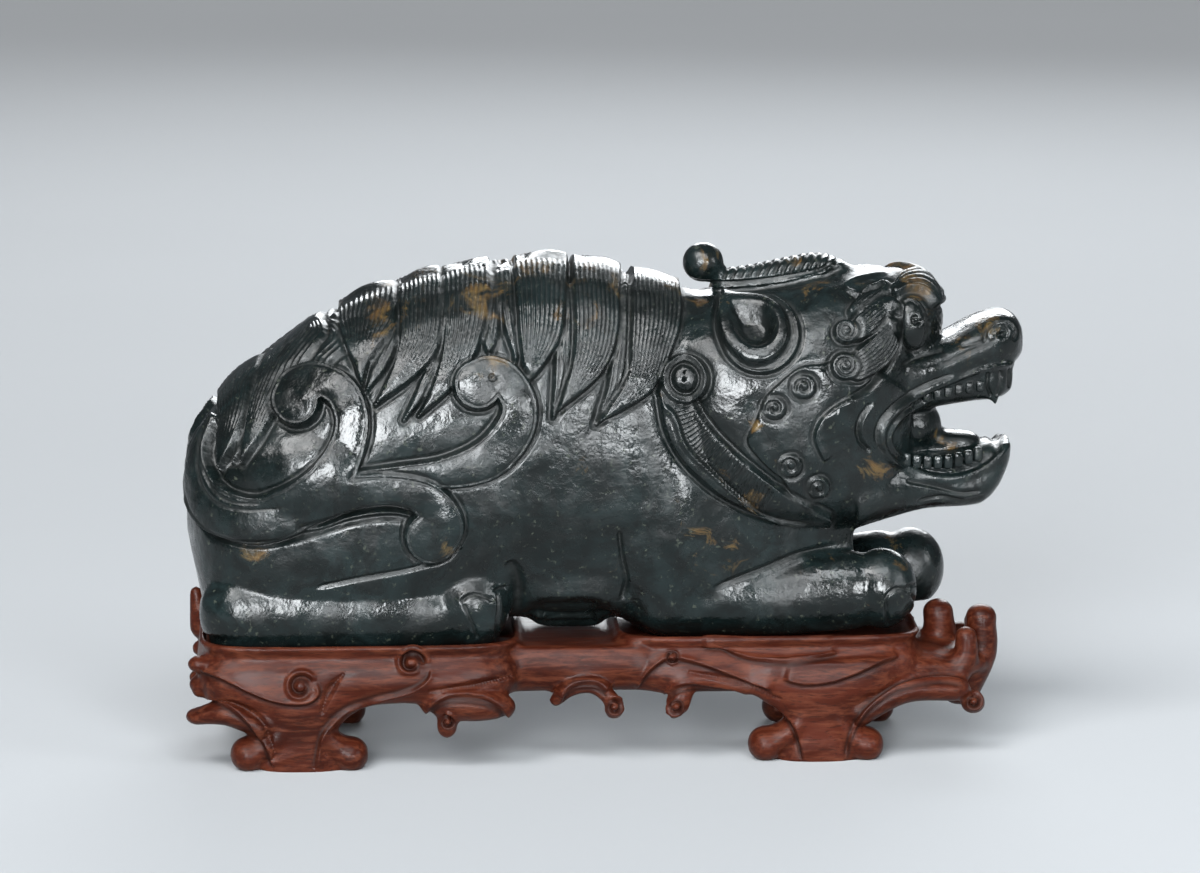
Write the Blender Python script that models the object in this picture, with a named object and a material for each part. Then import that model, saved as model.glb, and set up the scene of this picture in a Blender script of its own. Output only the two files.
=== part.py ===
"""A dark green jade guardian beast, lying with its mouth open on a carved wooden stand.

The beast is one solid and the stand is another. Both are drawn from the side on a squared sheet,
840 squares to the beast's length, and that drawing places every form and every line of the carving.
Columns count from the sheet's left edge and rows from its top, as the drawing's eye sees the near side.
The far side mirrors the near one, apart from the far foreleg, which reaches a little further forward.
"""

import math

import bmesh
import bpy
import numpy as np
from mathutils import Matrix, Vector

# Driving sizes, in metres
BEAST_LENGTH = 0.336
SEAT_HEIGHT = 0.047
RIM_HEIGHT = 0.0035
RIM_WALL = 0.0028
SEAT_CLEARANCE = 0.0012
RESTING_GAP = 0.0003
UNDERSIDE_HEIGHT = 0.027
ORIGIN_AHEAD = 0.0014

# Depth of the carving, in metres
SCROLL_RELIEF = 0.0042
LOCK_RELIEF = 0.0030
HEAD_RELIEF = 0.0030
FOLD_RELIEF = 0.0022
SPINE_RELIEF = 0.0024
LINE_DEPTH = 0.0012
BELLY_UNDERCUT = 0.0060
LEAF_RELIEF = 0.0016

# The squared sheet, and the eye that it is drawn from
SQUARE = BEAST_LENGTH / 840
EYE_DISTANCE = 5700.0
EYE_TILT = math.radians(9.87)
EYE_TURN = math.radians(3.0)
MIDDLE_COLUMN = 600.0
AXIS_ROW = 436.5
AXIS_ABOVE_SEAT = 194.0
UNDERSIDE_ON_SHEET = 67.5
SEAT_ON_SHEET = 117.5
FAR_ON_SHEET = 1000.0

# The two footprints of the beast, as first column, last column and half width in squares
HIND_FOOTPRINT = (207, 513, 118)
FORE_FOOTPRINT = (627, 914, 91)
SEAT_ROW = 640

FAR_FORELEG_REACH = 40
FAR_FOOT_REACH = 28

# How finely the forms are fused, and how many facets are kept
FUSING_VOXEL = 4.0 * SQUARE
BLEND_RADIUS = 5.5 * SQUARE
BEAST_FACETS = 6350
STAND_FACETS = 2900
RING_SIDES = 28
CUTTER_REACH = BEAST_LENGTH
# The beast's forms. A barrel's station is column, top row, bottom row and half width in squares
TRUNK = [
    (187, 470, 528, 20), (196, 436, 570, 62), (214, 408, 640, 92), (244, 376, 650, 114),
    (290, 345, 650, 124), (340, 310, 650, 130), (400, 287, 646, 131), (460, 272, 630, 129),
    (510, 264, 608, 126), (560, 262, 605, 122), (610, 269, 610, 116), (660, 281, 640, 110),
    (710, 296, 650, 100), (760, 330, 650, 82), (810, 400, 640, 62), (850, 480, 610, 40),
]
HEAD = [
    (652, 340, 440, 40), (668, 306, 478, 88), (700, 290, 506, 106), (740, 287, 522, 114),
    (780, 281, 528, 114), (820, 271, 527, 108), (855, 267, 520, 99), (885, 270, 505, 84),
    (905, 285, 470, 60),
]
KEEL = [
    (470, 480, 612, 78), (524, 480, 612, 90), (534, 480, 618, 94), (546, 480, 621, 94), (588, 480, 621, 94),
    (600, 480, 618, 94), (608, 480, 612, 90), (660, 480, 612, 78),
]
MUZZLE = [
    (860, 330, 412, 78), (900, 338, 402, 70), (940, 334, 384, 60), (965, 320, 372, 54),
    (985, 311, 366, 50), (1002, 308, 363, 45), (1014, 314, 360, 34), (1021, 326, 352, 18),
]
UPPER_GUM = [
    (890, 360, 412, 56), (930, 355, 404, 52), (970, 350, 398, 46), (996, 345, 396, 40), (1010, 345, 388, 28),
]
LOWER_JAW = [
    (850, 450, 524, 84), (885, 446, 514, 72), (920, 457, 505, 60), (950, 460, 503, 54),
    (978, 452, 501, 48), (996, 440, 484, 40), (1008, 432, 458, 26),
]
LOWER_GUM = [(895, 446, 490, 52), (930, 447, 490, 48), (965, 443, 485, 42), (990, 437, 470, 34)]

# A ball is its column, row, side, half length, half width, half height and lean in degrees
FOREHEAD = (893, 316, 0, 50, 76, 49)
MOUTH_BACK = (902, 424, 0, 40, 44, 30)
HORN_BALL = (703, 262, 0, 21, 21, 20.5)
HAUNCH = (335, 470, 60, 118, 76, 74)
HIND_PAW = (468, 603, 78, 42, 42, 48)
SHOULDER = (672, 500, 54, 62, 58, 130)
ELBOW = (668, 590, 54, 42, 38, 46)
FOREPAW = (882, 588, 56, 35, 37, 41)
EYE = (911, 324, 67, 18, 19, 28, 8)

# A limb's station is column, row, side, half depth and half height
TONGUE = [(890, 428, 0, 26, 16), (925, 438, 0, 26, 13), (965, 438, 0, 20, 8)]
HORN = [
    (850, 274, 0, 22, 9), (822, 264, 0, 22, 12), (790, 269, 0, 20, 13), (755, 275, 0, 17, 12),
    (722, 278, 0, 14, 10),
]
HIND_LEG = [(242, 612, 76, 42, 44), (320, 612, 78, 40, 42), (430, 612, 78, 38, 40)]
FORELEG = [(690, 598, 54, 34, 38), (770, 598, 56, 32, 38), (850, 590, 56, 33, 40)]
FANG = [(990, 380, 34, 6, 7), (994, 392, 34, 5, 6), (995, 400, 34, 3, 4)]


def real_height(squares):
    """Height in metres of what is drawn that many squares above the floor."""
    drawn = (-FAR_ON_SHEET, 0.0, UNDERSIDE_ON_SHEET, SEAT_ON_SHEET, SEAT_ON_SHEET + FAR_ON_SHEET)
    real = (-FAR_ON_SHEET * SQUARE, 0.0, UNDERSIDE_HEIGHT, SEAT_HEIGHT, SEAT_HEIGHT + FAR_ON_SHEET * SQUARE)
    return np.interp(squares, drawn, real)


def drawn_height(metres):
    """How many squares above the floor a height in metres is drawn."""
    drawn = (-FAR_ON_SHEET, 0.0, UNDERSIDE_ON_SHEET, SEAT_ON_SHEET, SEAT_ON_SHEET + FAR_ON_SHEET)
    real = (-FAR_ON_SHEET * SQUARE, 0.0, UNDERSIDE_HEIGHT, SEAT_HEIGHT, SEAT_HEIGHT + FAR_ON_SHEET * SQUARE)
    return np.interp(metres, real, drawn)


def drawn_at(column, row, side):
    """Squares along and above the floor of a point side squares off the middle; a far point mirrors a near one."""
    depth = -abs(side)
    a = (column - MIDDLE_COLUMN) / EYE_DISTANCE
    b = (AXIS_ROW - row) / EYE_DISTANCE
    cosine, sine = math.cos(EYE_TILT), math.sin(EYE_TILT)
    turn_cosine, turn_sine = math.cos(EYE_TURN), math.sin(EYE_TURN)
    start = EYE_DISTANCE + depth * turn_cosine * cosine
    # Two straight equations, one for the column and one for the row, in the two unknown distances
    m11, m12 = a * turn_sine * cosine - turn_cosine, -a * sine
    m21, m22 = (b * cosine - sine) * turn_sine, -(b * sine + cosine)
    r1 = -depth * turn_sine - a * start
    r2 = depth * turn_cosine * sine - b * start
    whole = m11 * m22 - m12 * m21
    along = (r1 * m22 - m12 * r2) / whole
    up = (m11 * r2 - r1 * m21) / whole
    return along, up + SEAT_ON_SHEET + AXIS_ABOVE_SEAT


def at(column, row, side=0.0):
    """The point on that square of the sheet, side squares off the middle."""
    along, up = drawn_at(column, row, side)
    return Vector((along * SQUARE - ORIGIN_AHEAD, side * SQUARE, float(real_height(up))))


def on_sheet(points):
    """Columns and rows of an array of points, each taken as if it were on the near side."""
    x = (points[:, 0] + ORIGIN_AHEAD) / SQUARE
    y = -np.abs(points[:, 1]) / SQUARE
    z = drawn_height(points[:, 2]) - SEAT_ON_SHEET - AXIS_ABOVE_SEAT
    cosine, sine = math.cos(EYE_TILT), math.sin(EYE_TILT)
    turn_cosine, turn_sine = math.cos(EYE_TURN), math.sin(EYE_TURN)
    across = x * turn_cosine - y * turn_sine
    beyond = x * turn_sine + y * turn_cosine
    away = EYE_DISTANCE + beyond * cosine - z * sine
    columns = MIDDLE_COLUMN + EYE_DISTANCE * across / away
    rows = AXIS_ROW - EYE_DISTANCE * (beyond * sine + z * cosine) / away
    return columns, rows


def footprint(low_column, high_column, half_width):
    """Centre, half length and half width of a footprint, in metres."""
    low = at(low_column, SEAT_ROW, half_width).x
    high = at(high_column, SEAT_ROW, half_width).x
    return (low + high) / 2, (high - low) / 2, half_width * SQUARE


def smoothstep(x):
    """0 below 0, 1 above 1, and a smooth rise between."""
    x = np.clip(x, 0.0, 1.0)
    return x * x * (3.0 - 2.0 * x)


def smooth_curve(points, spacing=3.0):
    """A smooth curve through the points, sampled about spacing apart. Widths are carried along."""
    p = np.asarray(points, float)
    ends = np.vstack([2 * p[0] - p[1], p, 2 * p[-1] - p[-2]])
    pieces = []
    for a, b, c, d in zip(ends[:-3], ends[1:-2], ends[2:-1], ends[3:]):
        count = max(2, int(math.hypot(*(c - b)[:2]) / spacing))
        t = np.linspace(0.0, 1.0, count, endpoint=False)[:, None]
        pieces.append(
            0.5 * (2 * b + (c - a) * t + (2 * a - 5 * b + 4 * c - d) * t**2 + (3 * b - a - 3 * c + d) * t**3)
        )
    pieces.append(p[-1:])
    return np.vstack(pieces)


def oval(centre, across, upward, half_across, half_up, fullness=2.0):
    """A ring of points on an oval; fullness 2 is an ellipse, and more is squarer."""
    ring = []
    for i in range(RING_SIDES):
        angle = 2 * math.pi * i / RING_SIDES
        c, s = math.cos(angle), math.sin(angle)
        a = math.copysign(abs(c) ** (2 / fullness), c) * half_across
        b = math.copysign(abs(s) ** (2 / fullness), s) * half_up
        ring.append(centre + across * a + upward * b)
    return ring


def skin(bm, rings):
    """Joins rings of equal count into a closed form with a fan at each end."""
    loops = [[bm.verts.new(p) for p in ring] for ring in rings]
    count = len(loops[0])
    for low, high in zip(loops[:-1], loops[1:]):
        for i in range(count):
            j = (i + 1) % count
            bm.faces.new((low[i], low[j], high[j], high[i]))
    for loop in (loops[0], loops[-1]):
        hub = bm.verts.new(sum((v.co for v in loop), Vector()) / count)
        for i in range(count):
            bm.faces.new((loop[i], loop[(i + 1) % count], hub))


def barrel(bm, stations, fullness=2.3):
    """A form along the middle of the beast."""
    rings = []
    for column, top, bottom, half_width in smooth_curve(stations, 16.0):
        high = at(column, top)
        low = at(column, bottom)
        half_up = max(0.5 * SQUARE, (high.z - low.z) / 2)
        half_across = max(0.5, half_width) * SQUARE
        rings.append(oval((high + low) / 2, Vector((0, 1, 0)), Vector((0, 0, 1)), half_across, half_up, fullness))
    skin(bm, rings)


def ball(bm, column, row, side, half_long, half_side, half_up, lean=0.0):
    """An ellipsoid; lean turns its nose up."""
    centre = at(column, row, side)
    turn = Matrix.Rotation(-math.radians(lean), 3, "Y")
    rings = []
    for i in range(1, 14):
        angle = math.pi * i / 14
        middle = centre + turn @ Vector((-math.cos(angle) * half_long * SQUARE, 0.0, 0.0))
        wide, high = half_side * SQUARE * math.sin(angle), half_up * SQUARE * math.sin(angle)
        rings.append(oval(middle, Vector((0, 1, 0)), turn @ Vector((0, 0, 1)), wide, high))
    skin(bm, rings)


def limb(bm, stations):
    """A round-ended form along a path."""
    curve = smooth_curve(stations, 10.0)
    points = [at(c, r, s) for c, r, s, _, _ in curve]
    rings = []
    for i, point in enumerate(points):
        ahead = points[min(i + 1, len(points) - 1)] - points[max(i - 1, 0)]
        ahead.normalize()
        across = Vector((0, 1, 0))
        upward = across.cross(ahead)
        upward.normalize()
        across = ahead.cross(upward)
        rings.append(oval(point, across, upward, curve[i][3] * SQUARE, curve[i][4] * SQUARE))
    skin(bm, rings)
    for c, r, s, half_depth, half_height in (stations[0], stations[-1]):
        ball(bm, c, r, s, (half_depth + half_height) / 2, half_depth, half_height)


def sided(form, near, reach=0):
    """A ball's or a station's numbers, moved to one side and ahead by reach."""
    column, row, side, *rest = form
    return (column + reach, row, near * side, *rest)


def beast_forms(bm):
    """The plain masses of the beast, overlapping, before they are fused and carved."""
    barrel(bm, TRUNK, 2.4)
    barrel(bm, HEAD, 2.4)
    barrel(bm, KEEL, 3.0)
    ball(bm, *FOREHEAD)
    barrel(bm, MUZZLE, 2.5)
    barrel(bm, UPPER_GUM, 3.0)
    barrel(bm, LOWER_JAW, 2.5)
    barrel(bm, LOWER_GUM, 3.0)
    limb(bm, TONGUE)
    ball(bm, *MOUTH_BACK)
    limb(bm, HORN)
    ball(bm, *HORN_BALL)
    for near in (-1, 1):
        reach = 0 if near < 0 else FAR_FORELEG_REACH
        for form in (HAUNCH, HIND_PAW, SHOULDER, ELBOW, EYE):
            ball(bm, *sided(form, near))
        ball(bm, *sided(FOREPAW, near, reach))
        limb(bm, [sided(station, near) for station in HIND_LEG])
        limb(bm, [sided(station, near, reach) for station in FORELEG])
        limb(bm, [sided(station, near) for station in FANG])


def fused(name, make_forms):
    """The forms as one closed mesh of even quads, with their creases blended."""
    bm = bmesh.new()
    make_forms(bm)
    bmesh.ops.recalc_face_normals(bm, faces=bm.faces)
    mesh = bpy.data.meshes.new(name + "_forms")
    bm.to_mesh(mesh)
    bm.free()
    obj = bpy.data.objects.new(name + "_forms", mesh)
    bpy.context.collection.objects.link(obj)
    remesh = obj.modifiers.new("Fuse", "REMESH")
    remesh.mode = "VOXEL"
    remesh.voxel_size = FUSING_VOXEL
    blend = obj.modifiers.new("Blend", "SMOOTH")
    blend.factor = 0.5
    blend.iterations = max(1, round(4 * (BLEND_RADIUS / FUSING_VOXEL) ** 2))
    evaluated = obj.evaluated_get(bpy.context.evaluated_depsgraph_get())
    result = bpy.data.meshes.new_from_object(evaluated)
    bpy.data.objects.remove(obj)
    return result

def read(items, name, count):
    """A vector property of all vertices as an array."""
    values = np.empty(count * 3, np.float32)
    items.foreach_get(name, values)
    return values.reshape(-1, 3).astype(float)


class Relief:
    """Heights carved on one surface, in metres, found from where its points lie on the sheet.

    The flanks take all of the carving, the back only what is drawn while over_the_back is chosen, and the
    underside none.
    """

    def __init__(self, mesh):
        count = len(mesh.vertices)
        self.mesh = mesh
        self.points = read(mesh.vertices, "co", count)
        self.normals = read(mesh.vertices, "normal", count)
        self.column, self.row = on_sheet(self.points)
        outward = self.normals[:, 1] * np.sign(self.points[:, 1])
        self.flank = smoothstep((outward - 0.05) / 0.25)
        self.back = smoothstep((np.maximum(outward, 0.9 * self.normals[:, 2]) - 0.05) / 0.25)
        self.weight = self.flank
        self.height = np.zeros(count)
    def near(self, curve, margin):
        """The points inside the box around a curve."""
        low = curve[:, :2].min(axis=0) - margin
        high = curve[:, :2].max(axis=0) + margin
        inside = (self.column > low[0]) & (self.column < high[0]) & (self.row > low[1]) & (self.row < high[1])
        return np.flatnonzero(inside & (self.weight > 0.0))
    def depth_inside(self, curve, pick):
        """How far inside the band swept by the curve's discs each point lies, in squares."""
        column, row = self.column[pick], self.row[pick]
        deepest = np.full(len(pick), -1e9)
        for c, r, half in curve:
            np.maximum(deepest, half - np.hypot(column - c, row - r), out=deepest)
        return deepest
    def along(self, curve, pick):
        """Share of the way along the curve, and the distance to its right, in squares."""
        column, row = self.column[pick], self.row[pick]
        steps = np.hypot(np.diff(curve[:, 0]), np.diff(curve[:, 1]))
        travelled = np.concatenate([[0.0], np.cumsum(steps)])
        nearest = np.full(len(pick), 1e18)
        share = np.zeros(len(pick))
        side = np.zeros(len(pick))
        for i, length in enumerate(steps):
            (ac, ar), (dc, dr) = curve[i, :2], curve[i + 1, :2] - curve[i, :2]
            t = np.clip(((column - ac) * dc + (row - ar) * dr) / length**2, 0.0, 1.0)
            off_c, off_r = column - ac - t * dc, row - ar - t * dr
            distance = off_c**2 + off_r**2
            closer = distance < nearest
            nearest[closer] = distance[closer]
            share[closer] = ((travelled[i] + t * length) / travelled[-1])[closer]
            side[closer] = (np.sign(dc * off_r - dr * off_c) * np.sqrt(distance))[closer]
        return share, side

    def lay(self, bands, height, bevel=4.0, crown=0.0):
        """Lays bands of that height as one over what is there, with bevelled edges and a crowned face."""
        curves = [smooth_curve(band) for band in bands]
        widest = max(curve[:, 2].max() for curve in curves)
        pick = self.near(np.vstack(curves), widest + 12)
        inside = np.maximum.reduce([self.depth_inside(curve, pick) for curve in curves])
        cover = smoothstep(inside / bevel + 0.5) * self.weight[pick]
        face = height + crown * smoothstep(inside / (0.8 * widest))
        rim = LINE_DEPTH * 0.6 * np.exp(-(((inside + bevel) / 3.0) ** 2)) * self.weight[pick]
        self.height[pick] = self.height[pick] * (1 - cover) + face * cover - rim

    def sink(self, band, depth, bevel=4.0):
        """Sinks a hollow of that depth inside the band."""
        curve = smooth_curve(band)
        pick = self.near(curve, curve[:, 2].max() + 12)
        self.height[pick] -= depth * smoothstep(self.depth_inside(curve, pick) / bevel) * self.weight[pick]

    def line(self, points, depth, width=2.4):
        """Cuts a line along a curve, or raises a ridge where depth is negative."""
        curve = smooth_curve(points)
        pick = self.near(curve, 4 * width)
        share, side = self.along(curve, pick)
        fade = smoothstep(share / 0.08) * smoothstep((1 - share) / 0.08)
        self.height[pick] -= depth * fade * np.exp(-((side / width) ** 2)) * self.weight[pick]

    def ledge(self, points, height, fade=22.0, bevel=3.0):
        """Raises what lies to the right of a curve, dying away over fade squares."""
        curve = smooth_curve(points)
        pick = self.near(curve, 3 * fade)
        share, side = self.along(curve, pick)
        rise = smoothstep(side / bevel + 0.5) * np.exp(-np.maximum(side, 0) / fade)
        ends = smoothstep(share / 0.06) * smoothstep((1 - share) / 0.06)
        self.height[pick] += height * rise * ends * self.weight[pick]

    def keep(self, points):
        """Writes carved points back to the mesh."""
        self.mesh.vertices.foreach_set("co", points.astype(np.float32).ravel())
        self.mesh.update()

    def moved(self):
        """The points after carving, moved along their normals."""
        return self.points + self.normals * self.height[:, None]

# The tail is a trunk that splits into three curls, as column, row and half width
TAIL_CURL_BACK = [
    (216, 420, 5), (203, 450, 8), (204, 482, 14), (222, 510, 22), (256, 520, 24), (290, 510, 24),
    (322, 488, 22), (344, 456, 18), (353, 424, 17), (345, 396, 17), (323, 383, 17), (304, 391, 20),
    (298, 404, 23),
]
TAIL_CURL_FRONT = [
    (352, 474, 3), (400, 472, 8), (445, 472, 15), (486, 459, 20), (511, 434, 20), (519, 408, 18),
    (508, 384, 18), (490, 377, 20), (478, 386, 24),
]
TAIL_CURL_LOW = [(290, 514, 20), (345, 494, 17), (392, 489, 15), (428, 500, 18), (441, 522, 22), (431, 535, 26)]
TAIL_UNDER_RIDGE = [(205, 533), (240, 541), (280, 541), (320, 531), (350, 522), (385, 517), (415, 519)]
TAIL_CHANNEL = [(296, 528), (325, 522), (350, 513), (380, 508), (402, 509), (416, 514)]

# Locks of the mane from root to tip, as column, row and half width
UNDER_LOCKS = [
    [(262, 380, 8), (258, 402, 9), (247, 432, 7), (233, 462, 1)],
    [(330, 338, 18), (310, 358, 16), (288, 384, 10), (270, 410, 3)],
    [(398, 296, 9), (392, 330, 11), (380, 362, 8), (366, 392, 1)],
    [(446, 286, 9), (444, 330, 11), (434, 372, 9), (404, 420, 1)],
    [(492, 276, 12), (490, 310, 11), (489, 335, 8), (489, 354, 1)],
    [(508, 276, 10), (512, 320, 9), (516, 350, 4), (515, 362, 1)],
    [(566, 290, 9), (566, 340, 11), (563, 380, 9), (553, 418, 1)],
    [(624, 290, 8), (622, 345, 10), (615, 388, 8), (597, 424, 1)],
]
TOP_LOCKS = [
    [(262, 352, 14), (240, 382, 15), (234, 412, 13), (228, 442, 8), (221, 470, 1)],
    [(312, 332, 15), (284, 368, 15), (267, 402, 13), (255, 434, 8), (243, 463, 1)],
    [(375, 290, 28), (368, 318, 27), (364, 340, 18), (362, 362, 8), (362, 384, 1)],
    [(427, 272, 24), (425, 305, 24), (421, 340, 20), (405, 370, 12), (376, 405, 1)],
    [(468, 262, 22), (467, 305, 21), (461, 345, 17), (446, 380, 10), (419, 416, 1)],
    [(541, 254, 27), (541, 295, 24), (540, 330, 21), (534, 358, 12), (528, 382, 1)],
    [(596, 254, 25), (596, 295, 22), (596, 330, 21), (588, 364, 16), (559, 409, 1)],
    [(652, 266, 21), (656, 310, 25), (651, 345, 21), (640, 382, 14), (601, 420, 1)],
]


def carve_mane(relief):
    """Two rows of overlapping locks down each side of the back."""
    relief.weight = relief.back
    for row, share in ((UNDER_LOCKS, 0.5), (TOP_LOCKS, 1.0)):
        for lock in row:
            relief.lay([lock], LOCK_RELIEF * share, 4.0, LOCK_RELIEF * share * 0.2)
    relief.weight = relief.flank


def carve_tail(relief):
    """The split tail, lying in high relief on the haunch."""
    relief.lay([TAIL_CURL_FRONT], SCROLL_RELIEF, 4.5)
    relief.lay([TAIL_CURL_BACK, TAIL_CURL_LOW], SCROLL_RELIEF * 1.06, 4.5)
    relief.line(TAIL_UNDER_RIDGE, LINE_DEPTH * 1.5, 4.0)
    relief.line(TAIL_CHANNEL, LINE_DEPTH * 2.2, 4.5)


# The collar that edges the head, the boss at its top, and the ear
COLLAR = [(672, 392, 14), (684, 424, 20), (703, 452, 22), (735, 480, 21), (776, 503, 15), (826, 518, 5)]
BOSS = (684, 379)
BOSS_RADII = (24, 16.5, 12.5)
EAR_SHELL = [(722, 300, 2), (738, 322, 22), (758, 333, 38), (761, 334, 38)]
EAR_RIM = [(723, 299, 2), (733, 314, 14), (749, 329, 28), (757, 333, 31)]
EAR_HOLLOW = [(729, 305, 1), (737, 315, 10), (750, 327, 21), (757, 330, 23)]

# The crease under the horn, the cheek cloud, and the folds and lips of the mouth
HORN_EDGE = [(688, 282), (702, 286), (740, 286), (780, 281), (815, 275), (830, 268), (846, 261)]
CLOUD_EDGE = [
    (822, 506), (806, 503), (790, 492), (784, 480), (772, 470), (757, 455), (748, 440), (757, 420),
    (764, 400), (778, 385), (800, 368), (825, 364), (852, 352),
]
JAW_FOLD = [(826, 464), (818, 450), (814, 436), (820, 420), (834, 407), (852, 397), (870, 386), (882, 370)]
CORNER_FOLD = [(872, 452), (861, 442), (857, 430), (860, 416), (870, 402)]
LIP = [
    (1016, 362), (985, 368), (960, 376), (930, 388), (905, 402), (888, 418), (881, 433), (883, 448), (894, 462),
    (912, 471), (937, 479), (962, 478), (986, 468), (1000, 455), (1009, 440),
]

# Tufts of the brow, and the lines round the eye and the nose
BROW_TUFTS = [
    [(900, 300, 6), (884, 311, 12), (866, 326, 13), (849, 334, 10)],
    [(897, 326, 7), (890, 342, 14), (872, 358, 17), (846, 366, 14)],
]
BROW_BUSH = [(896, 292, 4), (905, 283, 8), (920, 281, 10), (932, 289, 9), (936, 301, 5)]
CHEEK_GROOVE = [(899, 298), (898, 330), (893, 350), (882, 372), (868, 388), (850, 398)]
EYELID = [(901, 302), (899, 325), (902, 345), (912, 352), (921, 345), (925, 328), (921, 308), (911, 299), (901, 302)]
NOSTRIL = [(984, 344), (986, 332), (995, 323), (1008, 322), (1016, 331), (1013, 342)]


def carve_head(relief):
    """Collar, boss, ear, cheek cloud, brows, lips and the folds round the mouth."""
    relief.lay([COLLAR], HEAD_RELIEF, 4.0)
    for radius, share in zip(BOSS_RADII, (1.25, 0.7, 1.4)):
        relief.lay([[(*BOSS, radius), (BOSS[0] + 1, BOSS[1], radius)]], HEAD_RELIEF * share, 4.0)
    relief.weight = relief.back
    relief.lay([EAR_SHELL], HEAD_RELIEF * 0.6, 4.0)
    relief.lay([EAR_RIM], HEAD_RELIEF * 1.5, 5.0)
    relief.sink(EAR_HOLLOW, HEAD_RELIEF * 2.0, 12.0)
    relief.weight = relief.flank
    relief.line([(column, row + 5) for column, row in HORN_EDGE], LINE_DEPTH, 3.0)
    relief.ledge(CLOUD_EDGE, HEAD_RELIEF * 0.6, 30.0)
    relief.ledge(JAW_FOLD, FOLD_RELIEF, 26.0)
    relief.line(CORNER_FOLD, LINE_DEPTH * 1.3, 3.0)
    relief.line(LIP, -FOLD_RELIEF * 0.9, 4.0)
    for tuft in BROW_TUFTS:
        relief.lay([tuft], HEAD_RELIEF * 0.8, 4.0)
    relief.line(CHEEK_GROOVE, LINE_DEPTH * 1.8, 3.0)
    relief.line(NOSTRIL, LINE_DEPTH, 3.0)
    relief.line(EYELID, LINE_DEPTH, 2.6)
    relief.weight = relief.back
    relief.lay([BROW_BUSH], HEAD_RELIEF * 0.9, 4.0)
    relief.weight = relief.flank


# Creases of the legs with their depths and widths, the claws, and the undercut of the belly
LEG_CREASES = [
    ([(312, 589), (358, 579), (412, 569), (452, 556)], 1.2, 2.2),
    ([(712, 590), (738, 579), (768, 567), (800, 554), (838, 545)], 1.6, 2.8),
    ([(619, 530), (622, 560), (626, 580), (622, 602)], 1.4, 2.6),
    ([(508, 560), (518, 580), (517, 632)], 1.4, 5.0),
]
CLAW_LINES = [
    [(461, 603), (466, 597), (476, 594), (486, 597), (493, 601)],
    [(463, 603), (468, 615), (474, 628), (478, 640)],
    [(497, 592), (499, 606), (497, 622), (496, 640)],
    [(884, 602), (888, 594), (896, 588), (905, 589), (910, 593)],
    [(886, 600), (886, 612), (888, 626)],
    [(910, 594), (916, 604), (913, 618)],
]
BELLY_HOLLOW = [(548, 628, 34), (590, 628, 34)]
SPINE_REACH = (300, 640)
SPINE_KNOB_COLUMN = 372
SPINE_KNOB_PITCH = 61
SPINE_HALF_WIDTH = 15


def carve_legs(relief):
    """Creases between the legs and the body, and the claws."""
    for crease, share, width in LEG_CREASES:
        relief.line(crease, LINE_DEPTH * share, width)
    for line in CLAW_LINES:
        relief.line(line, LINE_DEPTH, 2.2)
    relief.sink(BELLY_HOLLOW, BELLY_UNDERCUT, 22.0)


def carve_spine(relief):
    """Rounded knobs down the middle of the back."""
    off_middle = relief.points[:, 1] / (SPINE_HALF_WIDTH * SQUARE)
    middle = np.exp(-(off_middle**2)) * (relief.normals[:, 2] > 0.2)
    first, last = SPINE_REACH
    reach = smoothstep((relief.column - first) / 60) * smoothstep((last - relief.column) / 60)
    knobs = np.abs(np.cos(math.pi * (relief.column - SPINE_KNOB_COLUMN) / SPINE_KNOB_PITCH)) ** 0.7
    relief.height += SPINE_RELIEF * middle * reach * (knobs - 0.4)


def keep_to_footprints(points):
    """Draws in what would reach past a footprint near the seats; between the rims the belly hangs free."""
    low = points[:, 2] < SEAT_HEIGHT + RIM_HEIGHT + RIM_WALL
    hind, fore = footprint(*HIND_FOOTPRINT), footprint(*FORE_FOOTPRINT)
    rim = SEAT_CLEARANCE + RIM_WALL + RESTING_GAP
    behind = points[:, 0] < hind[0] + hind[1] + rim
    ahead = points[:, 0] > fore[0] - fore[1] - rim
    for (middle, half_length, half_width), part in ((hind, behind), (fore, ahead)):
        pick = np.flatnonzero(low & part)
        along = (points[pick, 0] - middle) / half_length
        across = points[pick, 1] / half_width
        reach = (np.abs(along) ** 6 + np.abs(across) ** 6) ** (1 / 6)
        shrink = 1 / np.maximum(reach, 1.0)
        points[pick, 0] = middle + along * half_length * shrink
        points[pick, 1] = across * half_width * shrink


# The stand. A knee is a share of the platform's height and how far it swells, in squares
KNEES = [(0.0, -16), (0.06, -4), (0.3, 3), (0.6, 1), (0.78, -5), (0.88, -3), (0.93, 1), (1.0, 0)]
WAIST_SPAN = (480, 660)
WAIST_LEVELS = [(0.05, -16), (0.2, -6), (0.55, 0), (0.9, -2), (1.0, -5)]
FOOT_ROWS = (700, 760)

# A foot's level is its rise off the floor, half length and half width
FOOT_LEVELS = [
    (100, 80, 24), (88, 84, 26), (73, 78, 26), (64, 60, 25), (54, 45, 24), (40, 33, 22), (26, 27, 21),
    (14, 33, 21), (4, 40, 20), (-6, 40, 20),
]
HIND_FOOT = (302, -23, 1.0)
FORE_FOOT = (818, -15, 0.98)
TOE_REACHES = (-54, 49)

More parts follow.
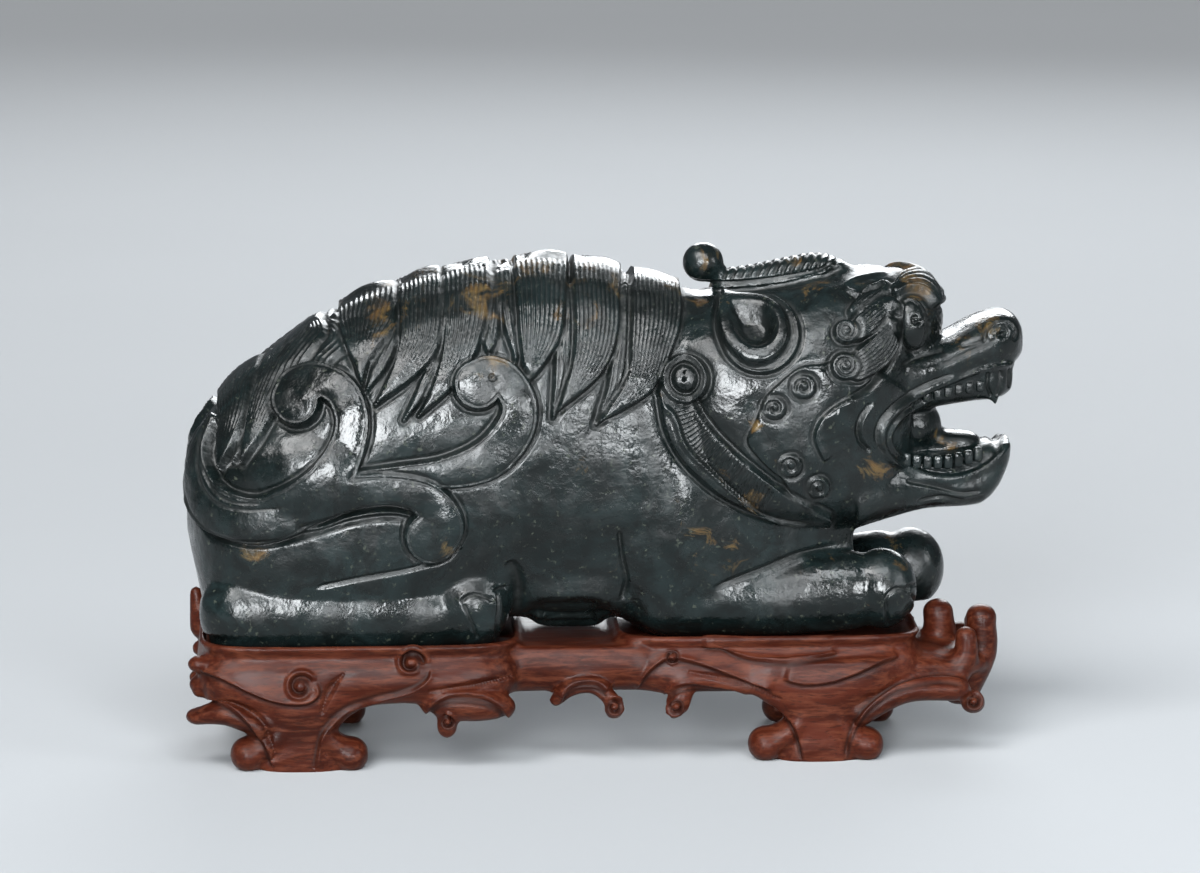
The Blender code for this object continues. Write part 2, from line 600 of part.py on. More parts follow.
# Forms on the stand's sides, whose side is counted from the platform's face
LEFT_LOBE = [(197, 716, -36, 16, 8), (226, 712, -22, 18, 13), (262, 722, -20, 22, 16)]
LEFT_KNOBS = [(199, 664, -32, 12, 14, 9), (200, 684, -42, 12, 14, 9), (199, 716, -38, 14, 14, 9)]
HANGING_LEAF = (468, 703, -14, 48, 22, 18, -4)
LEAF_BUD = (447, 725, -10, 11, 11, 14)
WAIST_CURL = [
    (556, 700, -6, 8, 7), (572, 688, -2, 9, 8), (594, 686, -2, 9, 8), (612, 700, 0, 9, 9), (614, 710, 0, 10, 10),
]
ARCH_BOSS = [(694, 664, -12, 12, 12), (684, 688, -5, 11, 11), (677, 705, -2, 12, 13), (674, 712, -2, 7, 8)]
RIGHT_ARCH = [(860, 712, -8, 16, 12), (905, 690, -14, 18, 12), (955, 688, -24, 20, 12)]
RIGHT_BOSS = (973, 702, -28, 13, 15, 12)

# Roots at the right end: tip, foot, side and radius; and the post at the left end
ROOTS = [
    (938, 612, 930, 668, -2, 18), (966, 636, 950, 676, -58, 13), (981, 617, 960, 682, -26, 18),
    (982, 630, 962, 680, 26, 14), (974, 654, 952, 678, 58, 13), (958, 664, 938, 682, 78, 11),
]
LEFT_POST = [(194, 616, 60, 7, 7), (199, 652, 60, 11, 12)]

# Lines and hollows of the stand's carving
LEFT_SCROLL = [(197, 668), (225, 680), (250, 692), (270, 700), (290, 704), (308, 703), (319, 694), (317, 681)]
ARCH_LEFT = [
    (315, 770), (320, 742), (329, 724), (346, 709), (370, 700), (395, 694), (415, 688), (428, 679), (431, 667),
]
RIGHT_LEAVES = [
    [(700, 646), (720, 646), (736, 655), (760, 661), (785, 663), (812, 660), (840, 653)],
    [(782, 679), (805, 684), (830, 682), (852, 675), (878, 664), (900, 656)],
    [(636, 690), (645, 676), (658, 664), (672, 659), (700, 664), (740, 678), (775, 690)],
]
ARCH_RIGHT = [
    (803, 762), (800, 744), (794, 727), (784, 712), (768, 701), (745, 692), (715, 686), (690, 684), (672, 690),
    (664, 702),
]
ARCH_END = [
    (968, 682), (945, 678), (920, 680), (896, 687), (875, 701), (860, 716), (851, 735), (846, 760),
]
STAND_HOLLOWS = [
    [(205, 700, 2), (235, 704, 5), (262, 722, 6), (274, 750, 3)], [(345, 672, 2), (330, 690, 7), (322, 712, 4)],
    [(430, 690, 3), (470, 686, 6), (510, 676, 3)], [(690, 672, 3), (740, 682, 6), (780, 698, 3)],
]


def slab(bm, middle, levels, corner=6.0):
    """A form stacked upward. Each level is its height, half length and half width, in metres."""
    rings = []
    for height, half_length, half_width in levels:
        centre = Vector((middle, 0.0, height))
        rings.append(oval(centre, Vector((1, 0, 0)), Vector((0, 1, 0)), half_length, half_width, corner))
    skin(bm, rings)


def platform(bm, outline):
    """One end of the stand, under one footprint: a rolled rim, a cove below it and a swelling body."""
    middle, half_length, half_width = footprint(*outline)
    out = SEAT_CLEARANCE + RIM_WALL
    top = SEAT_HEIGHT + RIM_HEIGHT
    levels = []
    for share, grow in KNEES:
        height = UNDERSIDE_HEIGHT + (top - UNDERSIDE_HEIGHT) * share
        levels.append((height, half_length + out + grow * SQUARE, half_width + out + grow * SQUARE))
    slab(bm, middle, levels)


def face(outline):
    """How far off the middle the side of a platform lies, in squares."""
    return outline[2] + (SEAT_CLEARANCE + RIM_WALL) / SQUARE


def on_face(form, near, outline):
    """A form's numbers with its side counted from a platform's face."""
    column, row, inward, *rest = form
    return (column, row, near * (face(outline) + inward), *rest)


def ground_row(column, side):
    """The row on which the floor is seen at that column, side squares off the middle."""
    high, low = (drawn_at(column, row, side)[1] for row in FOOT_ROWS)
    return FOOT_ROWS[0] + (FOOT_ROWS[1] - FOOT_ROWS[0]) * high / (high - low)


def foot(bm, column, side, spread):
    """A foot with a fluted shin that spreads upward, between two round toes."""
    floor = ground_row(column, side)
    rings = []
    for rise, half_long, half_side in FOOT_LEVELS:
        centre = at(column, floor - rise, side)
        half_long, half_side = half_long * spread * SQUARE, half_side * SQUARE
        rings.append(oval(centre, Vector((1, 0, 0)), Vector((0, 1, 0)), half_long, half_side, 2.6))
    skin(bm, rings)
    for reach in TOE_REACHES:
        way = math.copysign(1, reach)
        toe_column = column + reach * spread
        ball(bm, toe_column, floor - 14, side, 18, 24, 18)
        limb(bm, [
            (column + way * 12, floor - 66, side, 22, 12), (column + way * 22 * spread, floor - 34, side, 22, 12),
            (toe_column - way * 8, floor - 18, side, 20, 14),
        ])


def stand_forms(bm):
    """The stand before it is carved: two platforms, a waist between them, and four feet."""
    platform(bm, HIND_FOOTPRINT)
    platform(bm, FORE_FOOTPRINT)
    hind, fore = face(HIND_FOOTPRINT), face(FORE_FOOTPRINT)
    low, high = (at(column, SEAT_ROW, fore).x for column in WAIST_SPAN)
    rise = SEAT_HEIGHT - UNDERSIDE_HEIGHT
    levels = [
        (UNDERSIDE_HEIGHT + share * rise, (high - low) / 2, (fore + swell) * SQUARE) for share, swell in WAIST_LEVELS
    ]
    slab(bm, (low + high) / 2, levels, 8.0)
    for near in (-1, 1):
        column, inward, spread = HIND_FOOT
        foot(bm, column, near * (hind + inward), spread)
        column, inward, spread = FORE_FOOT
        foot(bm, column + (FAR_FOOT_REACH if near > 0 else 0), near * (fore + inward), spread)
        limb(bm, [on_face(station, near, HIND_FOOTPRINT) for station in LEFT_LOBE])
        for form in (*LEFT_KNOBS, HANGING_LEAF, LEAF_BUD):
            ball(bm, *on_face(form, near, HIND_FOOTPRINT))
        for curl in (WAIST_CURL, ARCH_BOSS, RIGHT_ARCH):
            limb(bm, [on_face(station, near, FORE_FOOTPRINT) for station in curl])
        ball(bm, *on_face(RIGHT_BOSS, near, FORE_FOOTPRINT))
    limb(bm, [(905, 652, 0, fore - 14, 22), (950, 654, 0, fore - 30, 18)])
    for tip_column, tip_row, foot_column, foot_row, side, radius in ROOTS:
        limb(bm, [
            (tip_column, tip_row, side, radius, radius * 0.8),
            (0.72 * tip_column + 0.28 * foot_column + 4, (tip_row + foot_row) / 2, side, radius + 1, radius + 1),
            (foot_column, foot_row, side, radius + 5, radius + 5),
        ])
    limb(bm, LEFT_POST)


def carve_stand(relief):
    """Scrolls, leaves and arches on the stand's sides."""
    for edge in (LEFT_SCROLL[::-1], ARCH_LEFT, *[leaf[::-1] for leaf in RIGHT_LEAVES], ARCH_RIGHT, ARCH_END[::-1]):
        relief.ledge(edge, LEAF_RELIEF, 15.0)
    for hollow in STAND_HOLLOWS:
        relief.sink(hollow, LEAF_RELIEF * 1.2, 6.0)


def cutter(name, bm):
    """An object that only cuts."""
    mesh = bpy.data.meshes.new(name)
    bmesh.ops.recalc_face_normals(bm, faces=bm.faces)
    bm.to_mesh(mesh)
    bm.free()
    obj = bpy.data.objects.new(name, mesh)
    obj.hide_render = True
    obj.display_type = "WIRE"
    bpy.context.collection.objects.link(obj)
    return obj


def all_below(name, height):
    """A cutter of everything below a height."""
    bm = bmesh.new()
    place = Matrix.Translation((0, 0, height - CUTTER_REACH)) @ Matrix.Scale(2 * CUTTER_REACH, 4)
    bmesh.ops.create_cube(bm, size=1.0, matrix=place)
    return cutter(name, bm)


def prism(name, middle, half_length, half_width, low):
    """A cutter with a squared oval outline, from a height upward."""
    bm = bmesh.new()
    slab(bm, middle, [(z, half_length, half_width) for z in (low, low + CUTTER_REACH)])
    return cutter(name, bm)


def seat(name, outline):
    """A cutter of the hollow that one footprint lies in."""
    middle, half_length, half_width = footprint(*outline)
    return prism(name, middle, half_length + SEAT_CLEARANCE, half_width + SEAT_CLEARANCE, SEAT_HEIGHT)


def material(name, colour, roughness):
    """A plain material."""
    made = bpy.data.materials.new(name)
    made.use_nodes = True
    shader = made.node_tree.nodes["Principled BSDF"]
    shader.inputs["Base Color"].default_value = (*colour, 1.0)
    shader.inputs["Roughness"].default_value = roughness
    shader.inputs["Metallic"].default_value = 0.0
    return made


def facet(obj, wanted):
    """Keeps about the wanted number of triangles, spent where the carving needs them."""
    there = sum(len(p.vertices) - 2 for p in obj.data.polygons)
    thin = obj.modifiers.new("Facets", "DECIMATE")
    thin.ratio = min(1.0, wanted / there)


def cut(obj, tool):
    """Takes a cutter away from a solid."""
    modifier = obj.modifiers.new("Cut by " + tool.name, "BOOLEAN")
    modifier.operation = "DIFFERENCE"
    modifier.object = tool
    modifier.solver = "EXACT"


def solid(name, mesh, coat, facets):
    """A named solid of that mesh and material, with its facets thinned."""
    mesh.shade_smooth()
    mesh.materials.append(coat)
    obj = bpy.data.objects.new(name, mesh)
    bpy.context.collection.objects.link(obj)
    facet(obj, facets)
    return obj


def make_beast():
    """The jade beast, flat where it rests."""
    mesh = fused("jade_beast", beast_forms)
    relief = Relief(mesh)
    for carve in (carve_mane, carve_tail, carve_head, carve_legs, carve_spine):
        carve(relief)
    points = relief.moved()
    keep_to_footprints(points)
    relief.keep(points)
    beast = solid("jade_beast", mesh, material("dark green jade", (0.035, 0.055, 0.045), 0.25), BEAST_FACETS)
    cut(beast, all_below("resting_flat", SEAT_HEIGHT + RESTING_GAP))


def make_stand():
    """The wooden stand, with the two hollows that the beast lies in."""
    mesh = fused("wood_stand", stand_forms)
    relief = Relief(mesh)
    carve_stand(relief)
    relief.keep(relief.moved())
    stand = solid("wood_stand", mesh, material("red brown hardwood", (0.16, 0.05, 0.025), 0.35), STAND_FACETS)
    cut(stand, all_below("floor_flat", 0.0))
    cut(stand, seat("hind_seat", HIND_FOOTPRINT))
    cut(stand, seat("fore_seat", FORE_FOOTPRINT))


def main():
    for obj in list(bpy.data.objects):
        bpy.data.objects.remove(obj)
    make_beast()
    make_stand()


if __name__ == "__main__":
    main()
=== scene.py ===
"""The looks of a dark jade guardian beast, lying with its mouth open on a carved wooden stand.

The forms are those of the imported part, drawn on the same squared sheet, and carved here down to the
strands of the mane, the ribs of the collar, the small spirals and the teeth.
"""

import math

import bmesh
import bpy
import numpy as np
from mathutils import Matrix, Vector


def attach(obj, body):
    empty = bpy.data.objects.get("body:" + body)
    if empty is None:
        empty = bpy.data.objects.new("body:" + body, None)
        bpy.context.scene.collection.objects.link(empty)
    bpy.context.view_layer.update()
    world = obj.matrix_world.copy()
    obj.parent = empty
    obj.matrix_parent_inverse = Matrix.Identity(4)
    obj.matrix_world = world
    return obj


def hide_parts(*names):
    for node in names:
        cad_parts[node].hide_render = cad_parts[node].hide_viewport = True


bl_info = {
    "name": "Jade guardian beast",
    "version": (1, 0, 0),
    "blender": (4, 5, 0),
    "location": "3D View > Sidebar > Carving",
    "description": "Carves a jade guardian beast and its wooden stand, and lights them",
    "category": "Object",
}

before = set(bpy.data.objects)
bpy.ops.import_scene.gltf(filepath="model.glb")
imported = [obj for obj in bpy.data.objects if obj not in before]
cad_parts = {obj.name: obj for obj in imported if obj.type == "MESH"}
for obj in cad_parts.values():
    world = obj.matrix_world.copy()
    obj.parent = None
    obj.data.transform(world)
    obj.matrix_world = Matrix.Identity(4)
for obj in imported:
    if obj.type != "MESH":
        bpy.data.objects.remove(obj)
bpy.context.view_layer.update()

# Driving sizes, in metres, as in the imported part
BEAST_LENGTH = 0.336
SEAT_HEIGHT = 0.047
RIM_HEIGHT = 0.0035
RIM_WALL = 0.0028
SEAT_CLEARANCE = 0.0012
RESTING_GAP = 0.0003
UNDERSIDE_HEIGHT = 0.027
ORIGIN_AHEAD = 0.0014

# Depth of the carving, in metres
SCROLL_RELIEF = 0.0042
LOCK_RELIEF = 0.0030
HEAD_RELIEF = 0.0030
FOLD_RELIEF = 0.0022
SPINE_RELIEF = 0.0024
LINE_DEPTH = 0.0012
STRAND_DEPTH = 0.0008
BELLY_UNDERCUT = 0.0060
LEAF_RELIEF = 0.0016

# The squared sheet, and the eye that it is drawn from
SQUARE = BEAST_LENGTH / 840
EYE_DISTANCE = 5700.0
EYE_TILT = math.radians(9.87)
EYE_TURN = math.radians(3.0)
MIDDLE_COLUMN = 600.0
AXIS_ROW = 436.5
AXIS_ABOVE_SEAT = 194.0
SHEET_WIDTH = 1200
UNDERSIDE_ON_SHEET = 67.5
SEAT_ON_SHEET = 117.5
FAR_ON_SHEET = 1000.0

# The two footprints of the beast, as first column, last column and half width in squares
HIND_FOOTPRINT = (207, 513, 118)
FORE_FOOTPRINT = (627, 914, 91)
FOOTPRINT_CORNER = 6
SEAT_ROW = 640
FAR_FORELEG_REACH = 40
FAR_FOOT_REACH = 28

# The directions along the carving, across it and upward
ALONG = Vector((1, 0, 0))
ACROSS = Vector((0, 1, 0))
UPWARD = Vector((0, 0, 1))

# Heights above the floor on the sheet, in squares, and the real heights that they stand for
HEIGHTS_DRAWN = (-FAR_ON_SHEET, 0.0, UNDERSIDE_ON_SHEET, SEAT_ON_SHEET, SEAT_ON_SHEET + FAR_ON_SHEET)
HEIGHTS_REAL = (
    -FAR_ON_SHEET * SQUARE, 0.0, UNDERSIDE_HEIGHT, SEAT_HEIGHT, SEAT_HEIGHT + FAR_ON_SHEET * SQUARE,
)

# How finely the forms are fused, and how many triangles are kept
FUSING_VOXEL = 2.2 * SQUARE
BLEND_RADIUS = 5.5 * SQUARE
BLEND_PASSES = 4
BEAST_TRIANGLES = 198000
STAND_TRIANGLES = 150000
RING_SIDES = 28

# How far a surface has to face outwards before it takes the carving, and over what rise it takes all of it
FACING_START = 0.05
FACING_RISE = 0.25

# How full a cross section is: 2 is an ellipse, and more is squarer
ROUND = 2.4
FULL = 2.5
SQUARISH = 3.0
FOOT_FULLNESS = 2.6
WAIST_FULLNESS = 8.0

# The beast's forms. A barrel's station is column, top row, bottom row and half width in squares
TRUNK = [
    (187, 470, 528, 20), (196, 436, 570, 62), (214, 408, 640, 92), (244, 376, 650, 114),
    (290, 345, 650, 124), (340, 310, 650, 130), (400, 287, 646, 131), (460, 272, 630, 129),
    (510, 264, 608, 126), (560, 262, 605, 122), (610, 269, 610, 116), (660, 281, 640, 110),
    (710, 296, 650, 100), (760, 330, 650, 82), (810, 400, 640, 62), (850, 480, 610, 40),
]
HEAD = [
    (652, 340, 440, 40), (668, 306, 478, 88), (700, 290, 506, 106), (740, 287, 522, 114),
    (780, 281, 528, 114), (820, 271, 527, 108), (855, 267, 520, 99), (885, 270, 505, 84),
    (905, 285, 470, 60),
]
KEEL = [
    (470, 480, 612, 78), (524, 480, 612, 90), (534, 480, 618, 94), (546, 480, 621, 94),
    (588, 480, 621, 94), (600, 480, 618, 94), (608, 480, 612, 90), (660, 480, 612, 78),
]
MUZZLE = [
    (860, 330, 412, 78), (900, 338, 402, 70), (940, 334, 384, 60), (965, 320, 372, 54),
    (985, 311, 366, 50), (1002, 308, 363, 45), (1014, 314, 360, 34), (1021, 326, 352, 18),
]
UPPER_GUM = [
    (890, 360, 412, 56), (930, 355, 404, 52), (970, 350, 398, 46), (996, 345, 396, 40),
    (1010, 345, 388, 28),
]
LOWER_JAW = [
    (850, 450, 524, 84), (885, 446, 514, 72), (920, 457, 505, 60), (950, 460, 503, 54),
    (978, 452, 501, 48), (996, 440, 484, 40), (1008, 432, 458, 26),
]
LOWER_GUM = [(895, 446, 490, 52), (930, 447, 490, 48), (965, 443, 485, 42), (990, 437, 470, 34)]

# A ball is its column, row, side, half length, half width, half height and lean in degrees
FOREHEAD = (893, 316, 0, 50, 76, 49)
MOUTH_BACK = (902, 424, 0, 40, 44, 30)
HORN_BALL = (703, 262, 0, 21, 21, 20.5)
HAUNCH = (335, 470, 60, 118, 76, 74)
HIND_PAW = (468, 603, 78, 42, 42, 48)
SHOULDER = (672, 500, 54, 62, 58, 130)
ELBOW = (668, 590, 54, 42, 38, 46)
FOREPAW = (882, 588, 56, 35, 37, 41)
EYE = (911, 324, 67, 18, 19, 28, 8)

# A limb's station is column, row, side, half depth and half height
TONGUE = [(890, 428, 0, 26, 16), (925, 438, 0, 26, 13), (965, 438, 0, 20, 8)]
HORN = [
    (850, 274, 0, 22, 9), (822, 264, 0, 22, 12), (790, 269, 0, 20, 13), (755, 275, 0, 17, 12),
    (722, 278, 0, 14, 10),
]
HIND_LEG = [(242, 612, 76, 42, 44), (320, 612, 78, 40, 42), (430, 612, 78, 38, 40)]
FORELEG = [(690, 598, 54, 34, 38), (770, 598, 56, 32, 38), (850, 590, 56, 33, 40)]
FANG = [(990, 380, 34, 6, 7), (994, 392, 34, 5, 6), (995, 402, 34, 3, 4)]


def real_height(squares):
    """Height in metres of what is drawn that many squares above the floor."""
    return np.interp(squares, HEIGHTS_DRAWN, HEIGHTS_REAL)


def drawn_height(metres):
    """How many squares above the floor a height in metres is drawn."""
    return np.interp(metres, HEIGHTS_REAL, HEIGHTS_DRAWN)


def drawn_at(column, row, side):
    """Squares along and above the floor of a point that lies side squares off the middle.

    A point on the far side mirrors the near one.
    """
    depth = -abs(side)
    a = (column - MIDDLE_COLUMN) / EYE_DISTANCE
    b = (AXIS_ROW - row) / EYE_DISTANCE
    cosine, sine = math.cos(EYE_TILT), math.sin(EYE_TILT)
    turn_cosine, turn_sine = math.cos(EYE_TURN), math.sin(EYE_TURN)
    start = EYE_DISTANCE + depth * turn_cosine * cosine
    # Two straight equations, one for the column and one for the row, in the two unknown distances
    m11, m12 = a * turn_sine * cosine - turn_cosine, -a * sine
    m21, m22 = (b * cosine - sine) * turn_sine, -(b * sine + cosine)
    r1 = -depth * turn_sine - a * start
    r2 = depth * turn_cosine * sine - b * start
    whole = m11 * m22 - m12 * m21
    along = (r1 * m22 - m12 * r2) / whole
    up = (m11 * r2 - r1 * m21) / whole
    return along, up + SEAT_ON_SHEET + AXIS_ABOVE_SEAT


def at(column, row, side=0.0):
    """The point on that square of the sheet, side squares off the middle."""
    along, up = drawn_at(column, row, side)
    return Vector((along * SQUARE - ORIGIN_AHEAD, side * SQUARE, float(real_height(up))))


def on_sheet(points):
    """Columns and rows of an array of points, each taken as if it were on the near side."""
    x = (points[:, 0] + ORIGIN_AHEAD) / SQUARE
    y = -np.abs(points[:, 1]) / SQUARE
    z = drawn_height(points[:, 2]) - SEAT_ON_SHEET - AXIS_ABOVE_SEAT
    cosine, sine = math.cos(EYE_TILT), math.sin(EYE_TILT)
    turn_cosine, turn_sine = math.cos(EYE_TURN), math.sin(EYE_TURN)
    across = x * turn_cosine - y * turn_sine
    beyond = x * turn_sine + y * turn_cosine
    away = EYE_DISTANCE + beyond * cosine - z * sine
    columns = MIDDLE_COLUMN + EYE_DISTANCE * across / away
    rows = AXIS_ROW - EYE_DISTANCE * (beyond * sine + z * cosine) / away
    return columns, rows


def footprint(low_column, high_column, half_width):
    """Centre, half length and half width of a footprint, in metres."""
    low = at(low_column, SEAT_ROW, half_width).x
    high = at(high_column, SEAT_ROW, half_width).x
    return (low + high) / 2, (high - low) / 2, half_width * SQUARE


def out_of_footprint(along, across):
    """How far out a point lies, where 1 is a footprint's outline with its rounded corners."""
    power = FOOTPRINT_CORNER
    return (np.abs(along) ** power + np.abs(across) ** power) ** (1 / power)


def shifted(points, ahead, down):
    """The columns and rows of a line, moved ahead and down by so many squares."""
    return [(column + ahead, row + down) for column, row, *_ in points]


def smoothstep(x):
    """0 below 0, 1 above 1, and a smooth rise between."""
    x = np.clip(x, 0.0, 1.0)
    return x * x * (3.0 - 2.0 * x)


def swell(distance, width):
    """1 at no distance, dying away smoothly over the width."""
    return np.exp(-((distance / width) ** 2))


def furrows(turns):
    """1 at each whole number of turns, and a rounded strand between two."""
    return 1 - np.abs(np.sin(math.pi * turns)) ** 0.8


def fade_in_and_out(share, ends):
    """1 along a line, falling to 0 over that share of its length at each end."""
    return smoothstep(share / ends) * smoothstep((1 - share) / ends)


def smooth_curve(points, spacing=3.0):
    """A smooth curve through the points, sampled about spacing apart. Widths are carried along."""
    p = np.asarray(points, float)
    ends = np.vstack([2 * p[0] - p[1], p, 2 * p[-1] - p[-2]])
    pieces = []
    for a, b, c, d in zip(ends[:-3], ends[1:-2], ends[2:-1], ends[3:]):
        count = max(2, int(math.hypot(*(c - b)[:2]) / spacing))
        t = np.linspace(0.0, 1.0, count, endpoint=False)[:, None]
        bend = (2 * a - 5 * b + 4 * c - d) * t**2
        twist = (3 * b - a - 3 * c + d) * t**3
        pieces.append(0.5 * (2 * b + (c - a) * t + bend + twist))
    pieces.append(p[-1:])
    return np.vstack(pieces)


def oval(centre, across, upward, half_across, half_up, fullness=2.0):
    """A ring of points on an oval; fullness 2 is an ellipse, and more is squarer."""
    ring = []
    for i in range(RING_SIDES):
        angle = 2 * math.pi * i / RING_SIDES
        c, s = math.cos(angle), math.sin(angle)
        a = math.copysign(abs(c) ** (2 / fullness), c) * half_across
        b = math.copysign(abs(s) ** (2 / fullness), s) * half_up
        ring.append(centre + across * a + upward * b)
    return ring


def skin(bm, rings):
    """Joins rings of equal count into a closed form with a fan at each end."""
    loops = [[bm.verts.new(p) for p in ring] for ring in rings]
    count = len(loops[0])
    for low, high in zip(loops[:-1], loops[1:]):
        for i in range(count):
            j = (i + 1) % count
            bm.faces.new((low[i], low[j], high[j], high[i]))
    for loop in (loops[0], loops[-1]):
        hub = bm.verts.new(sum((v.co for v in loop), Vector()) / count)
        for i in range(count):
            bm.faces.new((loop[i], loop[(i + 1) % count], hub))


def barrel(bm, stations, fullness):
    """A form along the middle of the beast."""
    rings = []
    for column, top, bottom, half_width in smooth_curve(stations, 16.0):
        high = at(column, top)
        low = at(column, bottom)
        half_up = max(0.5 * SQUARE, (high.z - low.z) / 2)
        half_across = max(0.5, half_width) * SQUARE
        rings.append(oval((high + low) / 2, ACROSS, UPWARD, half_across, half_up, fullness))
    skin(bm, rings)


def ball(bm, column, row, side, half_long, half_side, half_up, lean=0.0):
    """An ellipsoid; lean turns its nose up."""
    centre = at(column, row, side)
    turn = Matrix.Rotation(-math.radians(lean), 3, "Y")
    rings = []
    for i in range(1, RING_SIDES // 2):
        angle = math.pi * i / (RING_SIDES // 2)
        middle = centre + turn @ Vector((-math.cos(angle) * half_long * SQUARE, 0.0, 0.0))
        wide, high = half_side * SQUARE * math.sin(angle), half_up * SQUARE * math.sin(angle)
        rings.append(oval(middle, ACROSS, turn @ UPWARD, wide, high))
    skin(bm, rings)


def limb(bm, stations):
    """A round-ended form along a path."""
    curve = smooth_curve(stations, 10.0)
    points = [at(c, r, s) for c, r, s, _, _ in curve]
    rings = []
    for i, point in enumerate(points):
        ahead = points[min(i + 1, len(points) - 1)] - points[max(i - 1, 0)]
        ahead.normalize()
        upward = ACROSS.cross(ahead)
        upward.normalize()
        across = ahead.cross(upward)
        rings.append(oval(point, across, upward, curve[i][3] * SQUARE, curve[i][4] * SQUARE))
    skin(bm, rings)
    for c, r, s, half_depth, half_height in (stations[0], stations[-1]):
        ball(bm, c, r, s, (half_depth + half_height) / 2, half_depth, half_height)


def sided(form, near, reach=0):
    """A ball's or a station's numbers, moved to one side and ahead by reach."""
    column, row, side, *rest = form
    return (column + reach, row, near * side, *rest)


def beast_forms(bm):
    """The plain masses of the beast, overlapping, before they are fused and carved."""
    barrel(bm, TRUNK, ROUND)
    barrel(bm, HEAD, ROUND)
    barrel(bm, KEEL, SQUARISH)
    ball(bm, *FOREHEAD)
    barrel(bm, MUZZLE, FULL)
    barrel(bm, UPPER_GUM, SQUARISH)
    barrel(bm, LOWER_JAW, FULL)
    barrel(bm, LOWER_GUM, SQUARISH)
    limb(bm, TONGUE)
    ball(bm, *MOUTH_BACK)
    limb(bm, HORN)
    ball(bm, *HORN_BALL)
    for near in (-1, 1):
        reach = 0 if near < 0 else FAR_FORELEG_REACH
        for form in (HAUNCH, HIND_PAW, SHOULDER, ELBOW, EYE):
            ball(bm, *sided(form, near))
        ball(bm, *sided(FOREPAW, near, reach))
        limb(bm, [sided(station, near) for station in HIND_LEG])
        limb(bm, [sided(station, near, reach) for station in FORELEG])
        limb(bm, [sided(station, near) for station in FANG])


def fused(name, make_forms):
    """The forms as one closed mesh of even quads, with their creases blended."""
    bm = bmesh.new()
    make_forms(bm)
    bmesh.ops.recalc_face_normals(bm, faces=bm.faces)
    mesh = bpy.data.meshes.new(name + "_forms")
    bm.to_mesh(mesh)
    bm.free()
    obj = bpy.data.objects.new(name + "_forms", mesh)
    bpy.context.collection.objects.link(obj)
    remesh = obj.modifiers.new("Fuse", "REMESH")
    remesh.mode = "VOXEL"
    remesh.voxel_size = FUSING_VOXEL
    blend = obj.modifiers.new("Blend", "SMOOTH")
    blend.factor = 0.5
    blend.iterations = max(1, round(BLEND_PASSES * (BLEND_RADIUS / FUSING_VOXEL) ** 2))
    refine = obj.modifiers.new("Refine", "SUBSURF")
    refine.levels = 1
    refine.render_levels = 1
    return plain_mesh(obj)


def plain_mesh(obj):
    """The object's mesh with its modifiers applied; the object itself is removed."""
    evaluated = obj.evaluated_get(bpy.context.evaluated_depsgraph_get())
    result = bpy.data.meshes.new_from_object(evaluated)
    bpy.data.objects.remove(obj)
    return result


